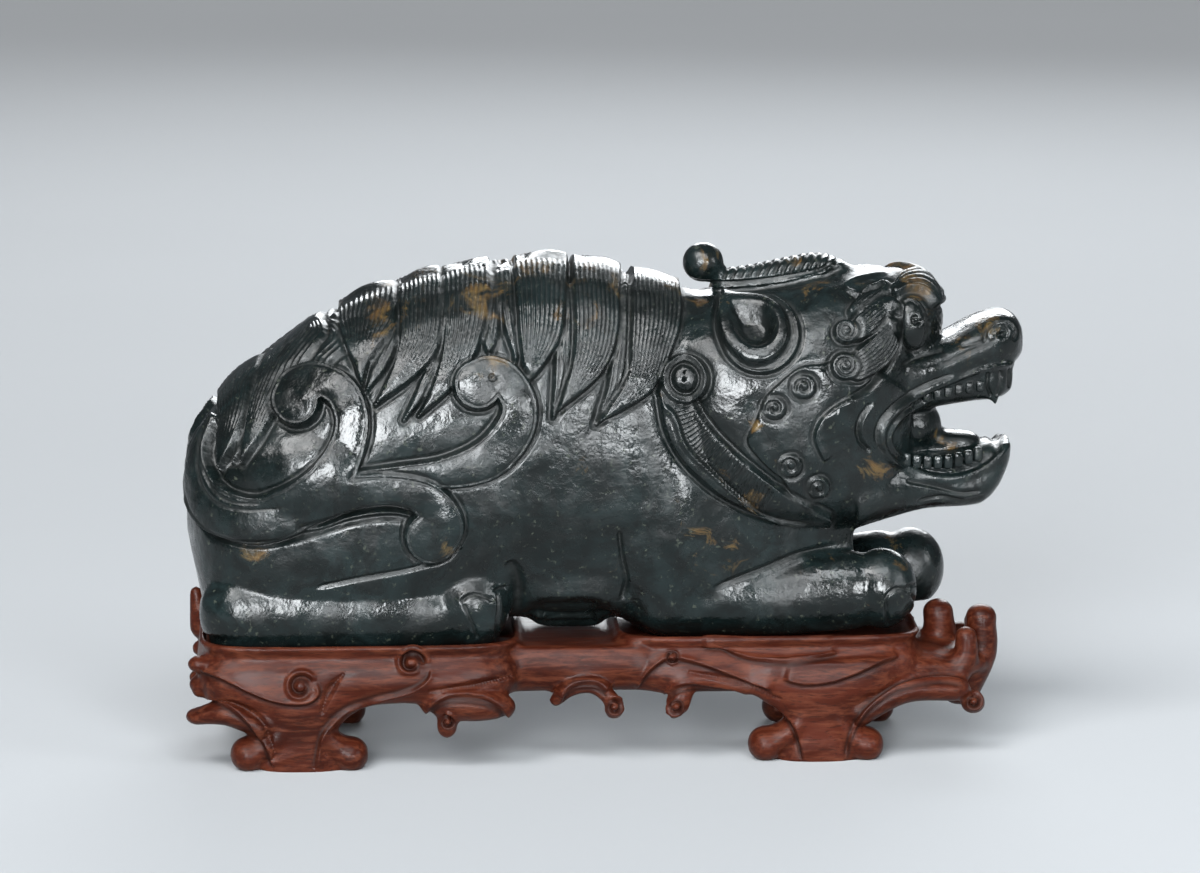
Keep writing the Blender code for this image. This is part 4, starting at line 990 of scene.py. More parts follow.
# A scroll's centre and radius, the angle at which its thread comes in, and the way it winds
STAND_COILS = [
    (300, 687, 17.0, -0.3, -1), (411, 663, 18.0, 0.2, -1), (447, 722, 9.5, -1.9, 1),
    (614, 707, 10.5, -1.9, 1), (676, 706, 10.5, -2.8, -1), (973, 702, 10.0, -1.7, 1),
    (672, 657, 7.5, 0.4, 1),
]


def slab(bm, middle, levels, fullness):
    """A form stacked upward. Each level is its height, half length and half width, in metres."""
    rings = []
    for height, half_length, half_width in levels:
        rings.append(oval(Vector((middle, 0.0, height)), ALONG, ACROSS, half_length, half_width, fullness))
    skin(bm, rings)


def platform(bm, outline):
    """One end of the stand, under one footprint: a rolled rim, a cove below it and a swelling body."""
    middle, half_length, half_width = footprint(*outline)
    out = SEAT_CLEARANCE + RIM_WALL
    top = SEAT_HEIGHT + RIM_HEIGHT
    levels = []
    for share, grow in KNEES:
        height = UNDERSIDE_HEIGHT + (top - UNDERSIDE_HEIGHT) * share
        levels.append((height, half_length + out + grow * SQUARE, half_width + out + grow * SQUARE))
    slab(bm, middle, levels, FOOTPRINT_CORNER)


def face(outline):
    """How far off the middle the side of a platform lies, in squares."""
    return outline[2] + (SEAT_CLEARANCE + RIM_WALL) / SQUARE


def on_face(form, near, outline):
    """A form's numbers with its side counted from a platform's face."""
    column, row, inward, *rest = form
    return (column, row, near * (face(outline) + inward), *rest)


def ground_row(column, side):
    """The row on which the floor is seen at that column, side squares off the middle."""
    high, low = (drawn_at(column, row, side)[1] for row in FOOT_ROWS)
    return FOOT_ROWS[0] + (FOOT_ROWS[1] - FOOT_ROWS[0]) * high / (high - low)


def foot(bm, column, side, spread):
    """A foot with a fluted shin that spreads upward, between two round toes."""
    floor = ground_row(column, side)
    rings = []
    for rise, half_long, half_side in FOOT_LEVELS:
        centre = at(column, floor - rise, side)
        half_long, half_side = half_long * spread * SQUARE, half_side * SQUARE
        rings.append(oval(centre, ALONG, ACROSS, half_long, half_side, FOOT_FULLNESS))
    skin(bm, rings)
    for reach in TOE_REACHES:
        way = math.copysign(1, reach)
        toe_column = column + reach * spread
        ball(bm, toe_column, floor - TOE_RISE, side, *TOE_SIZE)
        limb(bm, [
            (column + way * 12, floor - 66, side, 22, 12),
            (column + way * 22 * spread, floor - 34, side, 22, 12),
            (toe_column - way * 8, floor - 18, side, 20, 14),
        ])


def root(bm, tip_column, tip_row, foot_column, foot_row, side, radius):
    """A blunt root that thickens toward its foot."""
    bend_column = 0.72 * tip_column + 0.28 * foot_column + 4
    bend_row = (tip_row + foot_row) / 2
    limb(bm, [
        (tip_column, tip_row, side, radius, radius * 0.8),
        (bend_column, bend_row, side, radius + 1, radius + 1),
        (foot_column, foot_row, side, radius + 5, radius + 5),
    ])


def stand_forms(bm):
    """The stand before it is carved: two platforms, a waist between them, and four feet."""
    platform(bm, HIND_FOOTPRINT)
    platform(bm, FORE_FOOTPRINT)
    hind, fore = face(HIND_FOOTPRINT), face(FORE_FOOTPRINT)
    low, high = (at(column, SEAT_ROW, fore).x for column in WAIST_SPAN)
    rise = SEAT_HEIGHT - UNDERSIDE_HEIGHT
    levels = [
        (UNDERSIDE_HEIGHT + share * rise, (high - low) / 2, (fore + grow) * SQUARE)
        for share, grow in WAIST_LEVELS
    ]
    slab(bm, (low + high) / 2, levels, WAIST_FULLNESS)
    for near in (-1, 1):
        column, inward, spread = HIND_FOOT
        foot(bm, column, near * (hind + inward), spread)
        column, inward, spread = FORE_FOOT
        foot(bm, column + (FAR_FOOT_REACH if near > 0 else 0), near * (fore + inward), spread)
        limb(bm, [on_face(station, near, HIND_FOOTPRINT) for station in LEFT_LOBE])
        for form in (*LEFT_KNOBS, HANGING_LEAF, LEAF_BUD):
            ball(bm, *on_face(form, near, HIND_FOOTPRINT))
        for curl in (WAIST_CURL, ARCH_BOSS, RIGHT_ARCH):
            limb(bm, [on_face(station, near, FORE_FOOTPRINT) for station in curl])
        ball(bm, *on_face(RIGHT_BOSS, near, FORE_FOOTPRINT))
    limb(bm, [(column, row, 0, fore + inward, tall) for column, row, inward, tall in RIGHT_SILL])
    for form in ROOTS:
        root(bm, *form)
    limb(bm, LEFT_POST)


def carve_stand(relief):
    """Scrolls, leaves and arches on the stand's sides."""
    for edge in LEAF_EDGES:
        relief.ledge(edge, LEAF_RELIEF, 15.0)
        relief.line(edge, -LINE_DEPTH * 0.4, 2.4)
    for edge in ARCH_EDGES:
        relief.ledge(edge, LEAF_RELIEF, 12.0)
        relief.line(shifted(edge, 0, 6), LINE_DEPTH * 0.5, 2.0)
    for hollow, share in STAND_HOLLOWS:
        relief.sink(hollow, LEAF_RELIEF * share, 6.0)
    for column, row, radius, start, way in STAND_COILS:
        relief.coil(column, row, radius, -LINE_DEPTH, 1.4, start, way, 0.15 * radius)
        relief.coil(column, row, radius * 0.72, LINE_DEPTH * 0.9, 1.1, start, way, 0.12 * radius)
        relief.disc(column, row, radius * 0.24, LEAF_RELIEF, 3.0)


def sink_seats(points):
    """Presses the two hollows that the beast lies in, with their rolled rims."""
    for outline in (HIND_FOOTPRINT, FORE_FOOTPRINT):
        middle, half_length, half_width = footprint(*outline)
        along = (points[:, 0] - middle) / (half_length + SEAT_CLEARANCE)
        across = points[:, 1] / (half_width + SEAT_CLEARANCE)
        beyond = (out_of_footprint(along, across) - 1.0) * half_width
        wall = smoothstep(beyond / (RIM_ROLL * RIM_WALL))
        ceiling = SEAT_HEIGHT + wall * 2 * RIM_HEIGHT + (wall >= 1.0) * BEAST_LENGTH
        points[:, 2] = np.minimum(points[:, 2], ceiling)


def carved_stand():
    """The stand's finished surface."""
    mesh = fused("stand", stand_forms)
    relief = Relief(mesh)
    carve_stand(relief)
    points = relief.moved()
    sink_seats(points)
    points[:, 2] = np.maximum(points[:, 2], 0.0)
    relief.keep(points)
    return thinned(mesh, STAND_TRIANGLES)


class Nodes:
    """Adds and links the nodes of one tree."""

    def __init__(self, tree):
        self.tree = tree

    def feed(self, node, inputs):
        """Sets a node's inputs, each to a value or from another node's output."""
        for key, value in dict(inputs).items():
            if isinstance(value, bpy.types.NodeSocket):
                self.tree.links.new(value, node.inputs[key])
            else:
                node.inputs[key].default_value = value

    def add(self, kind, inputs=(), **settings):
        """A new node with its settings and inputs."""
        node = self.tree.nodes.new(kind)
        for name, value in settings.items():
            setattr(node, name, value)
        self.feed(node, inputs)
        return node

    def ramp(self, factor, stops):
        """A colour ramp between places and colours or greys."""
        node = self.add("ShaderNodeValToRGB", {0: factor})
        elements = node.color_ramp.elements
        while len(elements) < len(stops):
            elements.new(0.5)
        for element, (place, colour) in zip(elements, stops):
            element.position = place
            element.color = opaque(colour if isinstance(colour, tuple) else (colour, colour, colour))
        return node.outputs[0]

    def mix(self, factor, low, high):
        """A mix of two colours."""
        return self.add("ShaderNodeMix", {0: factor, 6: low, 7: high}, data_type="RGBA").outputs[2]

    def sum(self, operation, low, high, clamp=False):
        """One step of arithmetic."""
        node = self.add("ShaderNodeMath", {0: low, 1: high}, operation=operation, use_clamp=clamp)
        return node.outputs[0]

    def noise(self, place, scale, detail=4.0, roughness=0.55, distortion=0.0):
        """A noise's grey value."""
        return self.add("ShaderNodeTexNoise", {
            "Vector": place, "Scale": scale, "Detail": detail, "Roughness": roughness,
            "Distortion": distortion,
        }).outputs[0]

    def painted(self, name):
        """A number painted on the mesh."""
        return self.add("ShaderNodeAttribute", attribute_name=name).outputs["Fac"]


def opaque(colour):
    """A colour that covers fully."""
    return (*colour, 1.0)


def new_material(name):
    """An empty material with its output, shader and object coordinates."""
    material = bpy.data.materials.new(name)
    material.use_nodes = True
    material.node_tree.nodes.clear()
    nodes = Nodes(material.node_tree)
    shader = nodes.add("ShaderNodeBsdfPrincipled")
    nodes.add("ShaderNodeOutputMaterial", {"Surface": shader.outputs[0]})
    place = nodes.add("ShaderNodeTexCoord").outputs["Object"]
    return material, nodes, shader, place


def polish(nodes, pattern, levels, look, spread, groove, wear):
    """Roughness that follows a pattern between two of its levels, and is duller in the grooves."""
    low, high = levels
    rough = nodes.add("ShaderNodeMapRange", {
        0: pattern, 1: low, 2: high, 3: look.roughness, 4: look.roughness + spread,
    })
    return nodes.sum("ADD", rough.outputs[0], nodes.sum("MULTIPLY", groove, wear), True)


def bumped(nodes, coarse, fine, share, strength, distance):
    """Normals that a coarse pattern and a share of a fine one bump."""
    height = nodes.sum("ADD", coarse, nodes.sum("MULTIPLY", fine, share))
    return nodes.add("ShaderNodeBump", {
        "Height": height, "Strength": strength, "Distance": distance,
    }).outputs[0]


# Scales of the patterns, in turns to a metre
JADE_WARP = 22.0
JADE_CLOUDS = 26.0
JADE_MOTTLE = 95.0
JADE_SPECKS = 420.0
JADE_VEINS = 60.0
JADE_SKIN = 150.0
JADE_BUMPS = 110.0
JADE_PITS = 900.0
WOOD_STREAKS = 60.0
WOOD_GRAIN = 420.0
WOOD_PORES = 1500.0
FLOOR_CLOUDS = 3.0

# How deep the bumps of the surfaces are, in metres, and how much the wood's grain is drawn out
JADE_BUMP_DEPTH = 0.0013
WOOD_BUMP_DEPTH = 0.0003
WOOD_GRAIN_STRETCH = (0.16, 1.0, 1.0)

JADE_REFRACTION = 1.62


def russet_skin(nodes, place, bent, look):
    """Where the carver left the stone's skin, in broken veins and flecks, and its colour."""
    veins = nodes.noise(bent, JADE_VEINS, 9.0, 0.72, 0.9)
    amount = nodes.sum("ADD", veins, nodes.sum("MULTIPLY", nodes.painted("russet"), 0.24))
    patches = nodes.noise(place, JADE_SKIN, 5.0)
    colour = nodes.mix(patches, opaque(look.russet_colour), opaque(look.olive_colour))
    return nodes.ramp(amount, [(0.68, 0.0), (0.80, 0.85)]), colour


def jade_colour(nodes, place, bent, groove, look):
    """Cloudy and mottled dark green, with specks, russet skin and painted shade in the carved lines."""
    clouds = nodes.ramp(nodes.noise(bent, JADE_CLOUDS, 6.0, 0.6, 0.4), [(0.40, 0.0), (0.66, 1.0)])
    mottle = nodes.ramp(nodes.noise(bent, JADE_MOTTLE, 8.0, 0.65, 0.3), [(0.42, 0.75), (0.56, 0.0)])
    specks = nodes.ramp(nodes.noise(place, JADE_SPECKS, 4.0, 0.6), [(0.62, 0.0), (0.72, 0.55)])
    base = nodes.mix(clouds, opaque(look.dark_colour), opaque(look.cloud_colour))
    base = nodes.mix(mottle, base, opaque(look.mottle_colour))
    base = nodes.mix(specks, base, opaque(look.speck_colour))
    skin_amount, skin_tone = russet_skin(nodes, place, bent, look)
    base = nodes.mix(skin_amount, base, skin_tone)
    # Painted shade: the carved lines are darkened toward a near-black green
    return nodes.mix(nodes.sum("MULTIPLY", groove, 0.7), base, opaque(look.groove_shade_colour))


def jade_material(look):
    """Polished dark green jade."""
    material, nodes, shader, place = new_material("polished jade")
    warp = nodes.add("ShaderNodeTexNoise", {"Vector": place, "Scale": JADE_WARP, "Detail": 3.0}).outputs[1]
    bent = nodes.add("ShaderNodeMix", {0: 0.045, 4: place, 5: warp}, data_type="VECTOR").outputs[1]
    # The painted shade of the carved lines, read from the mesh
    groove = nodes.painted("groove")
    gloss = nodes.noise(bent, JADE_VEINS, 6.0, 0.6)
    bumps = nodes.noise(place, JADE_BUMPS, 3.5, 0.5)
    pits = nodes.noise(place, JADE_PITS, 3.0, 0.5)
    nodes.feed(shader, {
        "Base Color": jade_colour(nodes, place, bent, groove, look),
        "Roughness": polish(nodes, gloss, (0.38, 0.62), look, 0.22, groove, 0.25),
        "Normal": bumped(nodes, bumps, pits, 0.12, 0.6, JADE_BUMP_DEPTH),
        "IOR": JADE_REFRACTION,
        "Specular IOR Level": 0.24,
    })
    return material


def wood_material(look):
    """Dark red hardwood with a satin polish: fine grain along its length, and painted shade in the hollows.
    """
    material, nodes, shader, place = new_material("satin hardwood")
    drawn_out = nodes.add("ShaderNodeMapping", {"Vector": place, "Scale": WOOD_GRAIN_STRETCH}).outputs[0]
    streaks = nodes.noise(drawn_out, WOOD_STREAKS, 4.0, 0.55, 0.6)
    grain = nodes.noise(drawn_out, WOOD_GRAIN, 6.0, 0.65, 0.3)
    pores = nodes.noise(drawn_out, WOOD_PORES, 2.0, 0.5)
    # The painted shade of the carved lines and hollows, read from the mesh
    groove = nodes.painted("groove")
    streak_amount = nodes.ramp(streaks, [(0.36, 0.0), (0.64, 1.0)])
    grain_amount = nodes.ramp(grain, [(0.45, 0.0), (0.66, 0.75)])
    pore_amount = nodes.ramp(pores, [(0.34, 0.65), (0.44, 0.0)])
    base = nodes.mix(streak_amount, opaque(look.dark_colour), opaque(look.mid_colour))
    base = nodes.mix(grain_amount, base, opaque(look.light_colour))
    base = nodes.mix(pore_amount, base, opaque(look.pore_colour))
    # Painted shade: the carved lines and hollows are darkened toward a deep brown
    base = nodes.mix(nodes.sum("MULTIPLY", groove, 0.8), base, opaque(look.groove_shade_colour))
    nodes.feed(shader, {
        "Base Color": base,
        "Roughness": polish(nodes, grain, (0.3, 0.7), look, 0.14, groove, 0.2),
        "Normal": bumped(nodes, grain, pores, 0.4, 0.3, WOOD_BUMP_DEPTH),
        "Specular IOR Level": 0.10,
    })
    return material


def floor_material(look):
    """A plain matt sheet."""
    material, nodes, shader, place = new_material("pale floor")
    shaded = tuple(channel * 0.985 for channel in look.floor_colour)
    tone = nodes.ramp(
        nodes.noise(place, FLOOR_CLOUDS, 2.0), [(0.3, shaded), (0.7, tuple(look.floor_colour))])
    nodes.feed(shader, {"Base Color": tone, "Roughness": 0.95, "Specular IOR Level": 0.05})
    return material


# Where the russet skin lies, as column, row, radius and strength
RUSSET_SPOTS = [
    (380, 314, 26, 0.9), (430, 300, 30, 0.6), (480, 285, 34, 0.7), (545, 300, 30, 0.8), (530, 262, 40, 0.8),
    (585, 275, 26, 0.6), (640, 272, 30, 0.6), (702, 258, 20, 1.0), (800, 262, 26, 0.6), (822, 285, 14, 0.8),
    (700, 298, 16, 0.7), (815, 300, 24, 0.6), (920, 292, 18, 1.0), (755, 428, 11, 1.3), (772, 460, 12, 1.2),
    (752, 500, 26, 1.0), (722, 478, 16, 0.8), (660, 400, 14, 0.8), (720, 300, 12, 0.6), (850, 332, 14, 0.5),
    (878, 470, 22, 0.9), (944, 447, 15, 0.8), (985, 320, 26, 0.8), (960, 345, 20, 0.5), (730, 545, 14, 1.0),
    (820, 565, 18, 0.8), (860, 602, 26, 0.7), (900, 560, 14, 0.8), (255, 552, 24, 1.0), (400, 612, 20, 0.5),
    (265, 520, 24, 0.5), (498, 368, 18, 0.8), (448, 548, 14, 0.8), (590, 470, 22, 0.5), (430, 270, 40, 0.7),
    (500, 268, 60, 0.8), (400, 300, 34, 0.7), (350, 318, 40, 0.6), (605, 300, 40, 0.6), (670, 268, 30, 0.7),
    (900, 262, 30, 0.8), (880, 282, 22, 0.7), (925, 300, 14, 0.8), (700, 545, 40, 0.6), (640, 440, 30, 0.4),
]


def paint_russet(mesh):
    """Writes where the russet skin lies as an attribute."""
    points = read(mesh.vertices, "co", len(mesh.vertices))
    column, row = on_sheet(points)
    tone = np.zeros(len(points))
    for spot_column, spot_row, radius, strength in RUSSET_SPOTS:
        spread = ((column - spot_column) ** 2 + (row - spot_row) ** 2) / radius**2
        tone = np.maximum(tone, strength * np.exp(-spread))
    attribute = mesh.attributes.new("russet", "FLOAT", "POINT")
    attribute.data.foreach_set("value", tone.astype(np.float32))


def finish_piece(name, mesh, material, node):
    """Makes a finished mesh a piece of the object: it rides on the body and stands for a node."""
    mesh.materials.clear()
    mesh.materials.append(material)
    mesh.shade_smooth()
    mesh.name = name
    piece = bpy.data.objects.new(name, mesh)
    bpy.context.scene.collection.objects.link(piece)
    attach(piece, "root")
    if node:
        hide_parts(node)


# The teeth's sizes, in metres
TOOTH_WIDTH = 0.0036
TOOTH_DEPTH = 0.0030
UPPER_TOOTH_HEIGHT = 0.0048
LOWER_TOOTH_HEIGHT = 0.0058

# Rows of teeth: the path of their feet as column, row and side, how many, and which height they have
TOOTH_ROWS = [
    ([(896, 458, 54), (920, 462, 52), (945, 462, 49), (966, 458, 45), (978, 454, 42)], 9, "lower_height"),
    ([(905, 398, 54), (930, 396, 51), (955, 390, 47), (980, 386, 43)], 8, "upper_height"),
]


def teeth_tree(material):
    """A node tree that stands rounded teeth along a path."""
    tree = bpy.data.node_groups.new("Teeth", "GeometryNodeTree")
    socket = tree.interface.new_socket
    socket("Path", in_out="INPUT", socket_type="NodeSocketGeometry")
    for name, kind, value in (
        ("Count", "NodeSocketInt", 9),
        ("Width", "NodeSocketFloat", TOOTH_WIDTH),
        ("Depth", "NodeSocketFloat", TOOTH_DEPTH),
        ("Height", "NodeSocketFloat", LOWER_TOOTH_HEIGHT),
    ):
        socket(name, in_out="INPUT", socket_type=kind).default_value = value
    socket("Teeth", in_out="OUTPUT", socket_type="NodeSocketGeometry")
    nodes = Nodes(tree)
    given = nodes.add("NodeGroupInput").outputs
    path = nodes.add("GeometryNodeMeshToCurve", {0: given["Path"]}).outputs[0]
    spots = nodes.add("GeometryNodeResampleCurve", {"Curve": path, "Count": given["Count"]}).outputs[0]
    tangent = nodes.add("GeometryNodeInputTangent").outputs[0]
    turn = nodes.add(
        "FunctionNodeAlignRotationToVector", {"Vector": tangent}, axis="X", pivot_axis="Z").outputs[0]
    cube = nodes.add("GeometryNodeMeshCube", {
        "Vertices X": 3, "Vertices Y": 3, "Vertices Z": 3, "Size": (1.0, 1.0, 1.0),
    }).outputs[0]
    round_cube = nodes.add("GeometryNodeSubdivisionSurface", {"Mesh": cube, "Level": 2}).outputs[0]
    size = nodes.add("ShaderNodeCombineXYZ", {
        0: given["Width"], 1: given["Depth"], 2: given["Height"],
    }).outputs[0]
    placed = nodes.add("GeometryNodeInstanceOnPoints", {
        "Points": spots, "Instance": round_cube, "Rotation": turn, "Scale": size,
    }).outputs[0]
    real = nodes.add("GeometryNodeRealizeInstances", {0: placed}).outputs[0]
    smooth = nodes.add("GeometryNodeSetShadeSmooth", {"Geometry": real}).outputs[0]
    dressed = nodes.add("GeometryNodeSetMaterial", {"Geometry": smooth, "Material": material}).outputs[0]
    nodes.add("NodeGroupOutput", {0: dressed})
    return tree


def made_by(tree, name, points, values):
    """The plain mesh that a node tree makes along a path."""
    path = bpy.data.meshes.new(name)
    path.from_pydata(points, [(i, i + 1) for i in range(len(points) - 1)], [])
    obj = bpy.data.objects.new(name, path)
    bpy.context.scene.collection.objects.link(obj)
    modifier = obj.modifiers.new(name, "NODES")
    modifier.node_group = tree
    for item in tree.interface.items_tree:
        if item.in_out == "INPUT" and item.name in values:
            modifier[item.identifier] = values[item.name]
    return plain_mesh(obj)


class JadeLook(bpy.types.PropertyGroup):
    """The colours and the polish of the jade."""

    dark_colour: bpy.props.FloatVectorProperty(
        name="Dark green", description="The jade's main colour", subtype="COLOR",
        default=(0.0015, 0.0029, 0.0028))
    cloud_colour: bpy.props.FloatVectorProperty(
        name="Cloud green", description="The jade's cloudy patches", subtype="COLOR",
        default=(0.0056, 0.0098, 0.0100))
    mottle_colour: bpy.props.FloatVectorProperty(
        name="Mottle", description="The jade's small dark patches", subtype="COLOR",
        default=(0.0014, 0.0021, 0.0020))
    speck_colour: bpy.props.FloatVectorProperty(
        name="Specks", description="The jade's pale specks", subtype="COLOR", default=(0.042, 0.048, 0.036))
    # Painted shade: the colour toward which the carved lines are darkened
    groove_shade_colour: bpy.props.FloatVectorProperty(
        name="Grooves", description="The jade's colour in the carved lines", subtype="COLOR",
        default=(0.0025, 0.0035, 0.0032))
    russet_colour: bpy.props.FloatVectorProperty(
        name="Russet", description="The skin's deeper colour", subtype="COLOR",
        default=(0.070, 0.026, 0.006))
    olive_colour: bpy.props.FloatVectorProperty(
        name="Olive", description="The skin's paler colour", subtype="COLOR", default=(0.080, 0.064, 0.024))
    roughness: bpy.props.FloatProperty(
        name="Roughness", description="How dull the polish is", subtype="FACTOR",
        min=0.0, max=1.0, default=0.15)


class WoodLook(bpy.types.PropertyGroup):
    """The colours and the polish of the stand."""

    dark_colour: bpy.props.FloatVectorProperty(
        name="Dark brown", description="The wood's dark streaks", subtype="COLOR",
        default=(0.015, 0.0026, 0.0011))
    mid_colour: bpy.props.FloatVectorProperty(
        name="Red brown", description="The wood's main colour", subtype="COLOR",
        default=(0.038, 0.0076, 0.0035))
    light_colour: bpy.props.FloatVectorProperty(
        name="Light brown", description="The wood's pale grain", subtype="COLOR",
        default=(0.066, 0.018, 0.0085))
    pore_colour: bpy.props.FloatVectorProperty(
        name="Pores", description="The wood's fine dark pores", subtype="COLOR",
        default=(0.012, 0.0036, 0.0024))
    # Painted shade: the colour toward which the carved lines and hollows are darkened
    groove_shade_colour: bpy.props.FloatVectorProperty(
        name="Grooves", description="The wood's colour in the carved lines", subtype="COLOR",
        default=(0.008, 0.0022, 0.0014))
    roughness: bpy.props.FloatProperty(
        name="Roughness", description="How dull the polish is", subtype="FACTOR",
        min=0.0, max=1.0, default=0.30)


class ToothSizes(bpy.types.PropertyGroup):
    """The sizes of the teeth."""

    width: bpy.props.FloatProperty(
        name="Width", description="A tooth's size along its row", unit="LENGTH", default=TOOTH_WIDTH)
    depth: bpy.props.FloatProperty(
        name="Depth", description="A tooth's size across its row", unit="LENGTH", default=TOOTH_DEPTH)
    upper_height: bpy.props.FloatProperty(
        name="Upper height", description="Height of the upper teeth", unit="LENGTH",
        default=UPPER_TOOTH_HEIGHT)
    lower_height: bpy.props.FloatProperty(
        name="Lower height", description="Height of the lower teeth", unit="LENGTH",
        default=LOWER_TOOTH_HEIGHT)


class StudioLook(bpy.types.PropertyGroup):
    """The floor and the lights."""

    floor_colour: bpy.props.FloatVectorProperty(
        name="Floor", description="The floor's colour", subtype="COLOR", default=(0.30, 0.31, 0.32))
    floor_size: bpy.props.FloatProperty(
        name="Floor size", description="The floor's length and width", unit="LENGTH", default=24.0)
    sky_strength: bpy.props.FloatProperty(
        name="Sky light", description="Strength of the far light from the front left", subtype="FACTOR",
        min=0.0, soft_max=10.0, default=3.4)
    key_power: bpy.props.FloatProperty(
        name="Key light", description="Power of the soft light in front", unit="POWER", default=46.0)
    top_power: bpy.props.FloatProperty(
        name="Top light", description="Power of the soft light above the front", unit="POWER", default=40.0)
    low_power: bpy.props.FloatProperty(
        name="Low light", description="Power of the low light in front", unit="POWER", default=17.0)
    side_power: bpy.props.FloatProperty(
        name="Side light", description="Power of the light on the right", unit="POWER", default=8.0)
    back_power: bpy.props.FloatProperty(
        name="Back light", description="Power of the soft light behind", unit="POWER", default=24.0)


class CARVING_OT_jade_beast(bpy.types.Operator):
    """Carve the jade beast"""

    bl_idname = "carving.jade_beast"
    bl_label = "Jade beast"

    def execute(self, context):
        mesh = carved_beast()
        paint_russet(mesh)
        material = jade_material(context.scene.jade_look)
        finish_piece("carved_beast", mesh, material, "jade_beast")
        return {"FINISHED"}


class CARVING_OT_teeth(bpy.types.Operator):
    """Set the rows of teeth in the beast's jaws"""

    bl_idname = "carving.teeth"
    bl_label = "Teeth"

    def execute(self, context):
        material = bpy.data.materials["polished jade"]
        tree = teeth_tree(material)
        sizes = context.scene.tooth_sizes
        given = {"Width": sizes.width, "Depth": sizes.depth}
        bm = bmesh.new()
        for row, count, height in TOOTH_ROWS:
            given.update({"Count": count, "Height": getattr(sizes, height)})
            for near in (-1, 1):
                points = [at(column, line, near * side) for column, line, side in row]
                mesh = made_by(tree, "tooth_row", points, given)
                bm.from_mesh(mesh)
                bpy.data.meshes.remove(mesh)
        teeth = bpy.data.meshes.new("teeth")
        bm.to_mesh(teeth)
        bm.free()
        finish_piece("teeth", teeth, material, None)
        return {"FINISHED"}


class CARVING_OT_wood_stand(bpy.types.Operator):
    """Carve the wooden stand"""

    bl_idname = "carving.wood_stand"
    bl_label = "Wood stand"

    def execute(self, context):
        material = wood_material(context.scene.wood_look)
        finish_piece("carved_stand", carved_stand(), material, "wood_stand")
        return {"FINISHED"}


# A soft light's name, place and size in metres, and how widely it throws, in degrees
SOFT_LIGHTS = [
    ("key", (-0.75, -2.90, 0.95), (1.00, 1.50), 90.0),
    ("low", (0.95, -2.75, 0.50), (0.70, 0.90), 90.0),
    ("top", (0.30, -1.70, 2.15), (0.95, 0.95), 180.0),
    ("side", (2.40, -1.40, 1.10), (0.70, 1.20), 90.0),
    ("back", (0.50, 2.70, 1.35), (1.80, 1.20), 100.0),
]
LIGHT_AIM = (0.0, 0.0, 0.10)
LIGHT_COLOUR = (0.94, 0.975, 1.0)

# The far light's angles in degrees: to the left of the eye, above the floor, and how wide it looks
SKY_AZIMUTH = -38.0
SKY_ELEVATION = 50.0
SKY_WIDTH = 28.0

ROOM_COLOUR = (0.80, 0.86, 0.95)
ROOM_STRENGTH = 0.16
SENSOR_WIDTH = 36.0
VIEW_RANGE = (0.1, 60.0)


def soft_light(name, place, size, spread, power):
    """A rectangular soft light that faces the carving."""
    light = bpy.data.lights.new(name, "AREA")
    light.shape = "RECTANGLE"
    light.size, light.size_y = size
    light.energy = power
    light.color = LIGHT_COLOUR
    light.spread = math.radians(spread)
    lamp = bpy.data.objects.new(name, light)
    lamp.location = place
    lamp.rotation_euler = (Vector(LIGHT_AIM) - Vector(place)).to_track_quat("-Z", "Y").to_euler()
    bpy.context.scene.collection.objects.link(lamp)


def sky_light(strength):
    """A far light as wide as a bright window's sky."""
    light = bpy.data.lights.new("sky", "SUN")
    light.angle = math.radians(SKY_WIDTH)
    light.energy = strength
    lamp = bpy.data.objects.new("sky", light)
    lamp.rotation_euler = (math.radians(90.0 - SKY_ELEVATION), 0.0, math.radians(SKY_AZIMUTH))
    bpy.context.scene.collection.objects.link(lamp)


def room_light():
    """The even light of the room."""
    world = bpy.data.worlds.new("studio")
    world.use_nodes = True
    background = world.node_tree.nodes["Background"]
    background.inputs["Color"].default_value = opaque(ROOM_COLOUR)
    background.inputs["Strength"].default_value = ROOM_STRENGTH
    bpy.context.scene.world = world
    bpy.context.scene.view_settings.view_transform = "Standard"


def lay_floor(look):
    """The matt sheet that the stand is on."""
    half = look.floor_size / 2
    corners = [(-half, -half, 0), (half, -half, 0), (half, half, 0), (-half, half, 0)]
    mesh = bpy.data.meshes.new("floor")
    mesh.from_pydata(corners, [], [(0, 1, 2, 3)])
    mesh.materials.append(floor_material(look))
    floor = bpy.data.objects.new("floor", mesh)
    bpy.context.scene.collection.objects.link(floor)


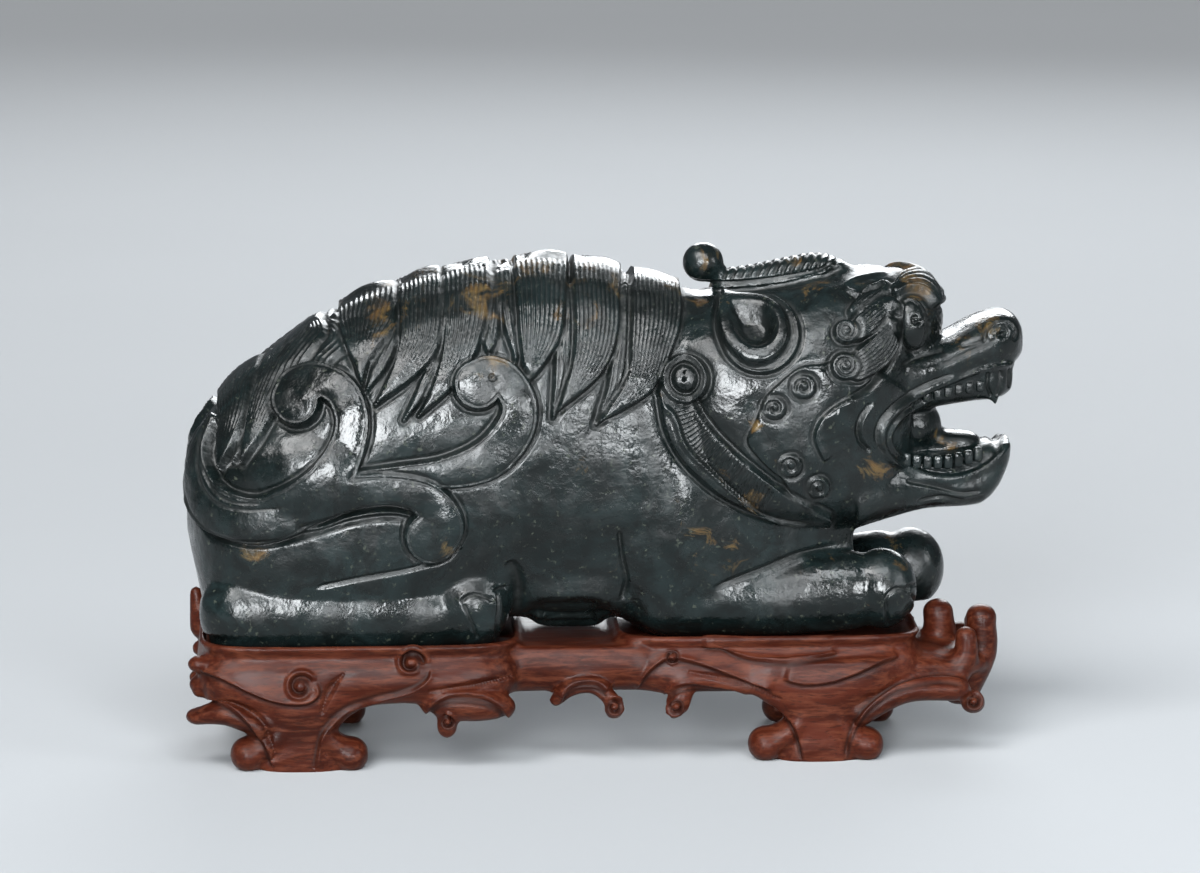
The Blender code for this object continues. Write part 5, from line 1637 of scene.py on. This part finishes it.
def set_camera():
    """The eye of the squared sheet."""
    camera = bpy.data.cameras.new("eye")
    camera.sensor_width = SENSOR_WIDTH
    camera.lens = EYE_DISTANCE / SHEET_WIDTH * camera.sensor_width
    camera.clip_start, camera.clip_end = VIEW_RANGE
    eye = bpy.data.objects.new("eye", camera)
    level = -math.cos(EYE_TILT)
    back = Vector((level * math.sin(EYE_TURN), level * math.cos(EYE_TURN), math.sin(EYE_TILT)))
    aim = Vector((-ORIGIN_AHEAD, 0.0, SEAT_HEIGHT + AXIS_ABOVE_SEAT * SQUARE))
    eye.location = aim + back * EYE_DISTANCE * SQUARE
    eye.rotation_euler = (-back).to_track_quat("-Z", "Y").to_euler()
    bpy.context.scene.collection.objects.link(eye)
    bpy.context.scene.camera = eye


class CARVING_OT_studio(bpy.types.Operator):
    """Lay the floor, and set the soft lights and the camera"""

    bl_idname = "carving.studio"
    bl_label = "Studio"

    def execute(self, context):
        look = context.scene.studio_look
        lay_floor(look)
        for name, place, size, spread in SOFT_LIGHTS:
            soft_light(name, place, size, spread, getattr(look, name + "_power"))
        sky_light(look.sky_strength)
        room_light()
        set_camera()
        return {"FINISHED"}


class CARVING_PT_panel(bpy.types.Panel):
    """Lists the pieces of the carving"""

    bl_label = "Carving"
    bl_idname = "CARVING_PT_panel"
    bl_space_type = "VIEW_3D"
    bl_region_type = "UI"
    bl_category = "Carving"

    def draw(self, context):
        for operator in OPERATORS:
            self.layout.operator(operator.bl_idname)
        for settings in SETTINGS:
            group = getattr(context.scene, settings)
            for name in group.__annotations__:
                self.layout.prop(group, name)


SETTINGS = {
    "jade_look": JadeLook,
    "tooth_sizes": ToothSizes,
    "wood_look": WoodLook,
    "studio_look": StudioLook,
}
OPERATORS = (CARVING_OT_jade_beast, CARVING_OT_teeth, CARVING_OT_wood_stand, CARVING_OT_studio)


def register():
    for group in SETTINGS.values():
        bpy.utils.register_class(group)
    for name, group in SETTINGS.items():
        setattr(bpy.types.Scene, name, bpy.props.PointerProperty(type=group))
    for kind in (*OPERATORS, CARVING_PT_panel):
        bpy.utils.register_class(kind)


def unregister():
    for kind in (*OPERATORS, CARVING_PT_panel):
        bpy.utils.unregister_class(kind)
    for name, group in SETTINGS.items():
        delattr(bpy.types.Scene, name)
        bpy.utils.unregister_class(group)


def main():
    register()
    bpy.ops.carving.jade_beast()
    bpy.ops.carving.teeth()
    bpy.ops.carving.wood_stand()
    bpy.ops.carving.studio()


if __name__ == "__main__":
    main()
